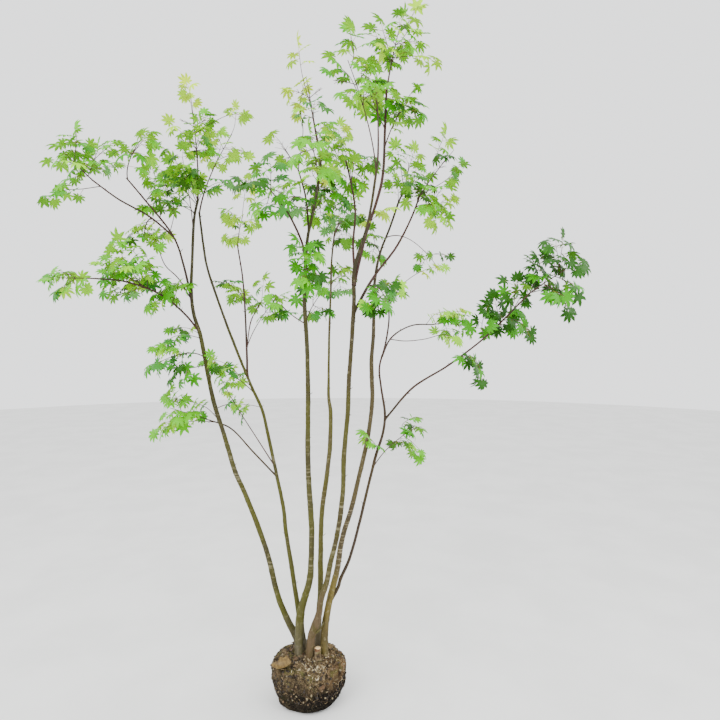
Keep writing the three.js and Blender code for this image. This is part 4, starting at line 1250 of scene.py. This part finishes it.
def ball_place(angle, run):
    """A place on the smooth ball: run goes from the middle of its underside to the middle of its top."""
    radius = np.interp(run, ball_runs, ball_profile[:, 0])
    up = np.interp(run, ball_runs, ball_profile[:, 1])
    height = min(max(up / (BALL_HEIGHT * MM), 0), 1)
    wave = sum(math.sin(count * angle + turn * height + start) for count, turn, start in BALL_WAVES)
    lump = 1 + BALL_LUMP / BALL_RADIUS * wave * math.sin(math.pi * height ** BALL_LUMP_RISE)
    return Vector((radius * lump * math.cos(angle), radius * lump * BALL_DEPTH * math.sin(angle), up))


def ball_way(angle, run, step=0.01):
    """The way straight out of the ball at a place on it."""
    around = ball_place(angle + step, run) - ball_place(angle - step, run)
    along = ball_place(angle, min(run + step, 1)) - ball_place(angle, max(run - step, 0))
    return around.cross(along).normalized()


def soil_rise(place):
    """How far the crumbled soil stands out of the smooth ball at a place, in metres."""
    clods = noise.noise(place * CLODS[0]) * CLODS[1]
    pits = abs(noise.noise(place * PITS[0] + UP)) * PITS[1]
    grain = noise.noise(place * GRAIN[0]) * GRAIN[1]
    return clods + grain + SOIL_PROUD - pits


def soil_place(angle, run, rise=0.0):
    """A place on the crumbled soil, or a rise in metres above it."""
    place = ball_place(angle, run)
    return place + ball_way(angle, run) * (soil_rise(place) + rise)


def make_soil():
    """The ball of soil: rings from its underside to its top, crumbled all over but for its underside."""
    rims = np.empty((BALL_ALONG - 1, BALL_AROUND, 3))
    for ring in range(1, BALL_ALONG):
        run = ring / BALL_ALONG
        for side in range(BALL_AROUND):
            angle = side / BALL_AROUND * math.tau
            place = ball_place(angle, run)
            free = min(max((place.z - FLAT_HEIGHT) / ROUGH_HEIGHT, 0), 1)
            rims[ring - 1, side] = place + ball_way(angle, run) * (soil_rise(place) * free)
    heap = Heap()
    heap.add(*sleeve(rims, ball_place(0, 0), ball_place(0, 1)))
    heap.piece("soil_ball", [soil_material()], "soil", ["root_ball"])


def soil_material():
    """Soil: grey brown above, with clods and moss and ochre on the right, speckled, and with painted shade
    that makes it nearly black below, most on the right.
    """
    shader = Shader("soil", 0.95, 0.1)
    clods = shader.ramp(
        shader.noise(60, 6), (0.34, (30, 24, 17)), (0.5, (78, 64, 45)), (0.66, (122, 106, 78)))
    fine = shader.ramp(
        shader.noise(260, 4), (0.38, (20, 16, 12)), (0.52, (76, 63, 44)), (0.64, (146, 128, 96)))
    color = shader.mix(0.55, clods, fine)
    ochre = shader.math("MULTIPLY", shader.span(shader.axis("X"), 0.06, 0.15), shader.noise(24, 3))
    color = shader.mix(ochre, color, (96, 68, 40))
    color = shader.lay(color, (74, 76, 36), shader.noise(20, 4), (0.52, 0.0), (0.64, 0.6))
    color = shader.lay(color, (22, 17, 13), shader.noise(34, 3), (0.36, 0.85), (0.5, 0.0))
    # Painted shade: darker towards the underside with an uneven edge, and more so on the right side.
    uneven = shader.math("ADD", shader.axis("Z"), shader.math("MULTIPLY", shader.noise(16, 4), 0.11))
    low = shader.span(uneven, 0.2, 0.15)
    right = shader.span(shader.axis("X"), -0.1, 0.06)
    painted_shade = shader.math("MULTIPLY", low, shader.math("ADD", shader.math("MULTIPLY", right, 0.2), 0.78))
    color = shader.mix(painted_shade, color, (14, 11, 9))
    specks = shader.noise(480, 2)
    color = shader.lay(color, (160, 150, 122), specks, (0.65, 0.0), (0.71, 0.7))
    color = shader.lay(color, (14, 11, 9), specks, (0.3, 0.9), (0.38, 0.0))
    return shader.finish(color, shader.noise(380, 6), 0.9, 0.0025)


# Where crumbs and roots lie on the ball, by run
LOWEST_RUN = 0.37
TOP_RUN = 0.97

# Crumbs: how many, their sizes, how far they are from round, how far they stand out and how high they
# stay, the powers that make small ones and dark ones the most, and their skins from dark to pale
CRUMBS = 1500
CRUMB_SIZES = (1.2, 5.5)
CRUMB_STRAY = 0.4
CRUMB_PROUD = 0.2
CRUMB_LOWEST = 12
CRUMB_SMALLNESS = 2
CRUMB_DARKNESS = 1.9
CRUMB_SKINS = (
    ("crumb_dark", (30, 23, 17), (48, 37, 27)), ("crumb_brown", (78, 60, 40), (104, 82, 56)),
    ("crumb_pale", (106, 92, 66), (140, 126, 98)),
)

# Fine roots: how many, their radii with the power that makes thin ones the most, their taper, their
# steps and how long each is, how far they turn, rise and sink, their rings, and the share of pale ones
ROOTS = 300
ROOT_RADII = (0.35, 1.0)
ROOT_FINENESS = 2
ROOT_TAPER = 0.6
ROOT_STEPS = (6, 16)
ROOT_STEP = 5
ROOT_TURN = 1.3
ROOT_PROUD = 0.4
ROOT_STRAY = 1.2
ROOT_SIDES = 5
ROOT_SPACING = 4
PALE_ROOTS = 0.45
ROOT_SKINS = (("root_pale", (176, 152, 112), (148, 120, 82)), ("root_brown", (92, 68, 44), (60, 44, 30)))

# A flake's place on the ball by its angle in degrees and its run, the turn of its length from level,
# its length and width, how far its sides and its ends curl up, and the number of its skin
FLAKES = (
    (-139, 0.7, 32, 98, 54, 22, 18, 0), (-128, 0.82, -30, 30, 16, 6, 5, 1), (-42, 0.84, 15, 44, 24, 8, 6, 0),
    (-66, 0.56, 5, 36, 20, 6, 5, 1), (20, 0.78, -25, 46, 24, 8, 7, 0), (75, 0.8, 40, 38, 20, 7, 5, 1),
    (118, 0.7, -12, 54, 28, 9, 8, 0), (165, 0.82, 30, 30, 15, 5, 4, 1),
)
FLAKE_SKINS = (
    ("flake_tan", (128, 104, 54), (78, 58, 30)), ("flake_rust", (92, 66, 36), (66, 46, 28)),
    ("flake_pale", (176, 164, 134), (136, 120, 90)),
)

# A flake's outline, fullest before its middle, its ripples by share and waves, its thickness, and the
# waves in its face by height, waves along it and turns across it
FLAKE_RINGS = 15
FLAKE_SIDES = 16
FLAKE_END = 0.02
FLAKE_LEAD = 1.3
FLAKE_FULLNESS = 0.7
FLAKE_RIPPLE = (0.12, 19)
FLAKE_THICKNESS = 0.7
FLAKE_WAVES = (0.8, 13, 0.3)
FLAKE_CLEARANCE = 1

# Pale shreds: how many, the middle and spread of their angles and of their runs, their lengths and the
# power that makes short ones the most, their widths, how far their sides and ends curl up, and their skin
SHREDS = 54
SHRED_PLACES = ((-70, 60), (0.72, 0.16))
SHRED_LENGTHS = (6, 22)
SHRED_SHORTNESS = 1.5
SHRED_WIDTHS = (0.12, 0.4)
SHRED_CURL = 0.3
SHRED_BOW = 0.12
SHRED_SKIN = 2


def twenty_sided():
    """The corners and faces of a regular body of twenty sides and of radius 1."""
    gold = (1 + math.sqrt(5)) / 2
    corners = [np.roll((a, b * gold, 0), turn) for turn in range(3) for b in (1, -1) for a in (-1, 1)]
    faces = [
        (0, 11, 5), (0, 5, 1), (0, 1, 7), (0, 7, 10), (0, 10, 11), (1, 5, 9), (5, 11, 4), (11, 10, 2),
        (10, 7, 6), (7, 1, 8), (3, 9, 4), (3, 4, 2), (3, 2, 6), (3, 6, 8), (3, 8, 9), (4, 9, 5), (2, 4, 11),
        (6, 2, 10), (8, 6, 7), (9, 8, 1)]
    return np.array(corners) / math.sqrt(1 + gold * gold), np.array(faces)


def make_crumbs():
    """Crumbs of soil that lie loose all over the ball."""
    draw = seeded(CRUMB_SEED)
    body, faces = twenty_sided()
    heap = Heap()
    for _ in range(CRUMBS):
        angle = draw() * math.tau
        run = lerp(LOWEST_RUN, TOP_RUN, draw())
        size = lerp(*CRUMB_SIZES, draw() ** CRUMB_SMALLNESS) * MM
        turn = draw() * ANY_PHASE
        spin = Matrix.Rotation(turn, 3, Vector([stray(draw, 1) for _ in range(3)]).normalized())
        shape = body * [1 + stray(draw, CRUMB_STRAY) for _ in range(3)] * size
        middle = soil_place(angle, run, size * CRUMB_PROUD)
        middle.z = max(middle.z, CRUMB_LOWEST * MM)
        skin = int(draw() ** CRUMB_DARKNESS * len(CRUMB_SKINS))
        heap.add(shape @ np.array(spin) + np.array(middle), faces, skin)
    heap.piece("soil_crumbs", [grained(*skin) for skin in CRUMB_SKINS], "soil", smooth=False)


def make_roots():
    """Fine roots that wander over the ball, in and out of its soil."""
    draw = seeded(ROOT_SEED)
    heap = Heap()
    for _ in range(ROOTS):
        angle = draw() * math.tau
        run = lerp(LOWEST_RUN, TOP_RUN, draw())
        heading = draw() * math.tau
        radius = lerp(*ROOT_RADII, draw() ** ROOT_FINENESS)
        line = []
        for _ in range(round(lerp(*ROOT_STEPS, draw()))):
            line.append(soil_place(angle, run, (radius * ROOT_PROUD + stray(draw, ROOT_STRAY)) * MM))
            heading += stray(draw, ROOT_TURN)
            angle += math.cos(heading) * ROOT_STEP / BALL_RADIUS
            run = min(max(run + math.sin(heading) * ROOT_STEP / ball_length, LOWEST_RUN), TOP_RUN)
        skin = 0 if draw() < PALE_ROOTS else 1
        twig(heap, Path(line), (radius, radius * ROOT_TAPER), ROOT_SIDES, ROOT_SPACING, skin)
    heap.piece("fine_roots", [grained(*skin) for skin in ROOT_SKINS], "soil")


def shreds():
    """The pale shreds, as rows like those of the flakes."""
    draw = seeded(FLAKE_SEED)
    rows = []
    for _ in range(SHREDS):
        angle, run = (middle + stray(draw, spread) * draw() for middle, spread in SHRED_PLACES)
        length = lerp(*SHRED_LENGTHS, draw() ** SHRED_SHORTNESS)
        width = length * lerp(*SHRED_WIDTHS, draw())
        turn = draw() * 180
        rows.append((angle, run, turn, length, width, width * SHRED_CURL, length * SHRED_BOW, SHRED_SKIN))
    return rows


def make_flakes():
    """Dry leaves and shreds that lie on the ball, curled up at their sides and ends."""
    heap = Heap()
    shares = np.linspace(FLAKE_END, 1 - FLAKE_END, FLAKE_RINGS)[:, None]
    angles = angles_round(FLAKE_SIDES)
    ripple, ripples = FLAKE_RIPPLE
    height, along, around = FLAKE_WAVES
    for angle, run, turn, length, width, curl, bow, skin in (*FLAKES, *shreds()):
        angle, turn = math.radians(angle), math.radians(turn)
        out = ball_way(angle, run)
        level = UP.cross(out).normalized()
        way = level * math.cos(turn) + out.cross(level) * math.sin(turn)
        half = width / 2 * np.sin(math.pi * shares ** FLAKE_LEAD) ** FLAKE_FULLNESS
        across = half * np.cos(angles) * (1 + ripple * np.sin(shares * ripples))
        lift = curl * (across / (width / 2)) ** 2 + bow * (2 * shares - 1) ** 2
        lift = lift + np.sin(angles) * FLAKE_THICKNESS + height * np.sin(shares * along + across * around)
        rims = np.stack([(shares - 0.5) * length + 0 * across, across, lift], axis=2) * MM
        corners, faces = capped(rims)
        basis = np.array([way, out.cross(way), out])
        base = np.array(soil_place(angle, run, FLAKE_CLEARANCE * MM))
        heap.add(corners @ basis + base, faces, skin)
    heap.piece("dry_flakes", [grained(*skin) for skin in FLAKE_SKINS], "soil")


# The woody stool under the stems: lumps by middle and half sizes, with bumps by height, count round them
# and turns up them, and a stem cut short, by foot and tip, with waves round it by height and count
STOOL = (
    ((14, -6, 190), (66, 44, 17)), ((-36, -12, 196), (27, 25, 18)), ((8, -36, 194), (25, 21, 19)),
    ((44, -42, 194), (24, 20, 17)), ((70, -18, 196), (24, 24, 19)), ((40, 10, 196), (22, 26, 18)),
    ((-14, 22, 196), (23, 24, 18)), ((-32, 54, 190), (24, 22, 16)), ((24, -18, 204), (18, 16, 12)),
)
STOOL_RINGS = 20
STOOL_SIDES = 32
STOOL_END = 0.06
STOOL_BUMPS = ((0.06, 5, 4, 1), (0.05, 9, -7, 0))
STUMP = ((43, -46, 190), (45, -46, 249))
STUMP_RADII = (16, 13)
STUMP_RINGS = 14
STUMP_SIDES = 24
STUMP_WAVES = ((0.05, 3, 1), (0.03, 7, 0))
STUMP_FACE = (226, 200, 150)
STUMP_YEARS = (206, 170, 112)


def make_stool():
    """The low ring of bark between the stems' feet, and the stump: its second ring of faces is the cut."""
    heap = Heap()
    turns = np.linspace(STOOL_END, math.pi - STOOL_END, STOOL_RINGS)[:, None]
    angles = angles_round(STOOL_SIDES)
    level = np.sin(turns)
    ball = np.stack([level * np.cos(angles), level * np.sin(angles), -np.cos(turns) + 0 * angles], axis=2)
    for number, (middle, sizes) in enumerate(STOOL):
        bumps = 1
        for height, around, up, own in STOOL_BUMPS:
            bumps = bumps + height * np.sin(around * angles + up * turns + own * number)
        heap.add(*capped((ball * bumps[..., None] * sizes + middle) * MM))
    foot, tip = (Vector(place) for place in STUMP)
    line = Path([place * MM for place in (foot, lerp(foot, tip, 0.5), tip)])
    radii = np.linspace(*STUMP_RADII, STUMP_RINGS) * MM
    angles = angles_round(STUMP_SIDES)
    relief = 1
    for height, around, up in STUMP_WAVES:
        relief = relief + height * np.sin(around * angles + up * np.arange(STUMP_RINGS)[:, None])
    corners, faces = tube(line, radii, STUMP_SIDES, relief)
    skins = np.zeros(len(faces), int)
    skins[STUMP_SIDES:2 * STUMP_SIDES] = 1
    heap.add(corners, faces, skins)
    heap.piece("stool_bark", [stool_material(), cut_material()], "bark")


def stool_material():
    """Old bark at the foot: grey brown, cracked, with moss."""
    shader = Shader("stool_bark", 0.85, 0.15)
    color = shader.ramp(
        shader.noise(70, 5), (0.34, (52, 42, 32)), (0.5, (100, 84, 62)), (0.68, (132, 120, 94)))
    color = shader.lay(color, (98, 98, 52), shader.noise(36, 3), (0.54, 0.0), (0.64, 0.6))
    color = shader.lay(color, (98, 58, 38), shader.noise(22, 2), (0.56, 0.0), (0.64, 0.6))
    return shader.finish(color, shader.noise(260, 6), 0.8, 0.002)


def cut_material():
    """A fresh cut through wood, with its yearly rings round the middle of the stump."""
    shader = Shader("cut_wood", 0.7, 0.3)
    x, y, _ = STUMP[1]
    middle = [("Location", (-x * MM, -y * MM, 0))]
    moved = shader.node("ShaderNodeMapping", [("Vector", shader.place)], middle).outputs[0]
    years = shader.node(
        "ShaderNodeTexWave", [("Vector", moved)], [("Scale", 90), ("Distortion", 1.5)],
        wave_type="RINGS", rings_direction="Z").outputs["Fac"]
    return shader.finish(shader.mix(years, STUMP_FACE, STUMP_YEARS), years, 0.3, 0.0005)


# Floor and light: the lamps by name, place, size and power, and what they point at
FLOOR_RADIUS = 14
FLOOR_SIDES = 64
WORLD_COLOR = (0.98, 0.99, 1, 1)
WORLD_STRENGTH = 2.0
LAMPS = (("key", (-2.4, -3.0, 4.6), 3.0, 220), ("fill", (3.2, -1.5, 3.2), 3.0, 90))
LAMP_TARGET = Vector((0, 0, 1.5))


def make_floor():
    """A pale, wide floor under the tree, for the picture only."""
    shader = Shader("floor", 0.9, 0.2)
    tone = shader.ramp(shader.noise(2, 3), (0.4, (226, 226, 224)), (0.6, (232, 232, 230)))
    mesh = bpy.data.meshes.new("floor")
    angles = angles_round(FLOOR_SIDES)
    rim = [(FLOOR_RADIUS * math.cos(angle), FLOOR_RADIUS * math.sin(angle), 0) for angle in angles]
    mesh.from_pydata(rim, [], [list(range(FLOOR_SIDES))])
    mesh.materials.append(shader.finish(tone, shader.noise(300, 3), 0.1, 0.0005))
    floor = put("floor", mesh)


def make_world():
    """Even light from all round."""
    world = bpy.data.worlds.new("studio")
    world.use_nodes = True
    back = world.node_tree.nodes["Background"]
    back.inputs["Color"].default_value = WORLD_COLOR
    back.inputs["Strength"].default_value = WORLD_STRENGTH
    bpy.context.scene.world = world


def make_lamp(name, place, size, power):
    """A square lamp that points at the crown."""
    light = bpy.data.lights.new(name, "AREA")
    light.size = size
    light.energy = power
    lamp = put(name, light)
    lamp.location = place
    lamp.rotation_euler = (LAMP_TARGET - Vector(place)).to_track_quat("-Z", "Y").to_euler()


def make_camera():
    """The camera that takes the photograph's view."""
    camera = bpy.data.cameras.new("camera")
    camera.lens = LENS
    camera.sensor_width = SENSOR
    eye = put("camera", camera)
    eye.location = EYE
    eye.rotation_euler = (math.pi / 2 - EYE_PITCH, 0, 0)
    bpy.context.scene.camera = eye


# The tree: its limbs, then leaves and twigs by the stem's family, with the young leaves apart
barks = {name: bark_material(f"{name}_bark", **looks) for name, looks in BARKS.items()}
for number, (name, spec) in enumerate(LIMBS.items()):
    limb = Limb(name, *spec)
    limbs[name] = limb
    paths[name] = limb.path
    wood_around.add(*limb.stretches())
    bark = BARK_OF.get(name, "olive" if name.startswith("stem") else "young")
    slot = "young_bark" if bark == "young" else "bark"
    make_limb(limb, barks[bark], slot, BARK_SEEDS + number)

leaf_skins = leaf_materials()
twig_skins = [
    grained("twig_bark", (50, 32, 23), (76, 42, 33)), grained("leaf_stalk", (128, 72, 42), (136, 128, 36)),
    barks["green"]]
young_heap = Heap()
for family in sorted({family_of(name) for name in FOLIAGE}):
    grow_family(family, young_heap, leaf_skins, twig_skins)
young_names = [f"foliage_{name}" for name in YOUNG_FOLIAGE]
young_heap.piece("leaves_young", leaf_skins, "young_leaf", young_names, False)

make_soil()
make_crumbs()
make_roots()
make_flakes()
make_stool()

make_floor()
make_world()
for lamp in LAMPS:
    make_lamp(*lamp)
make_camera()
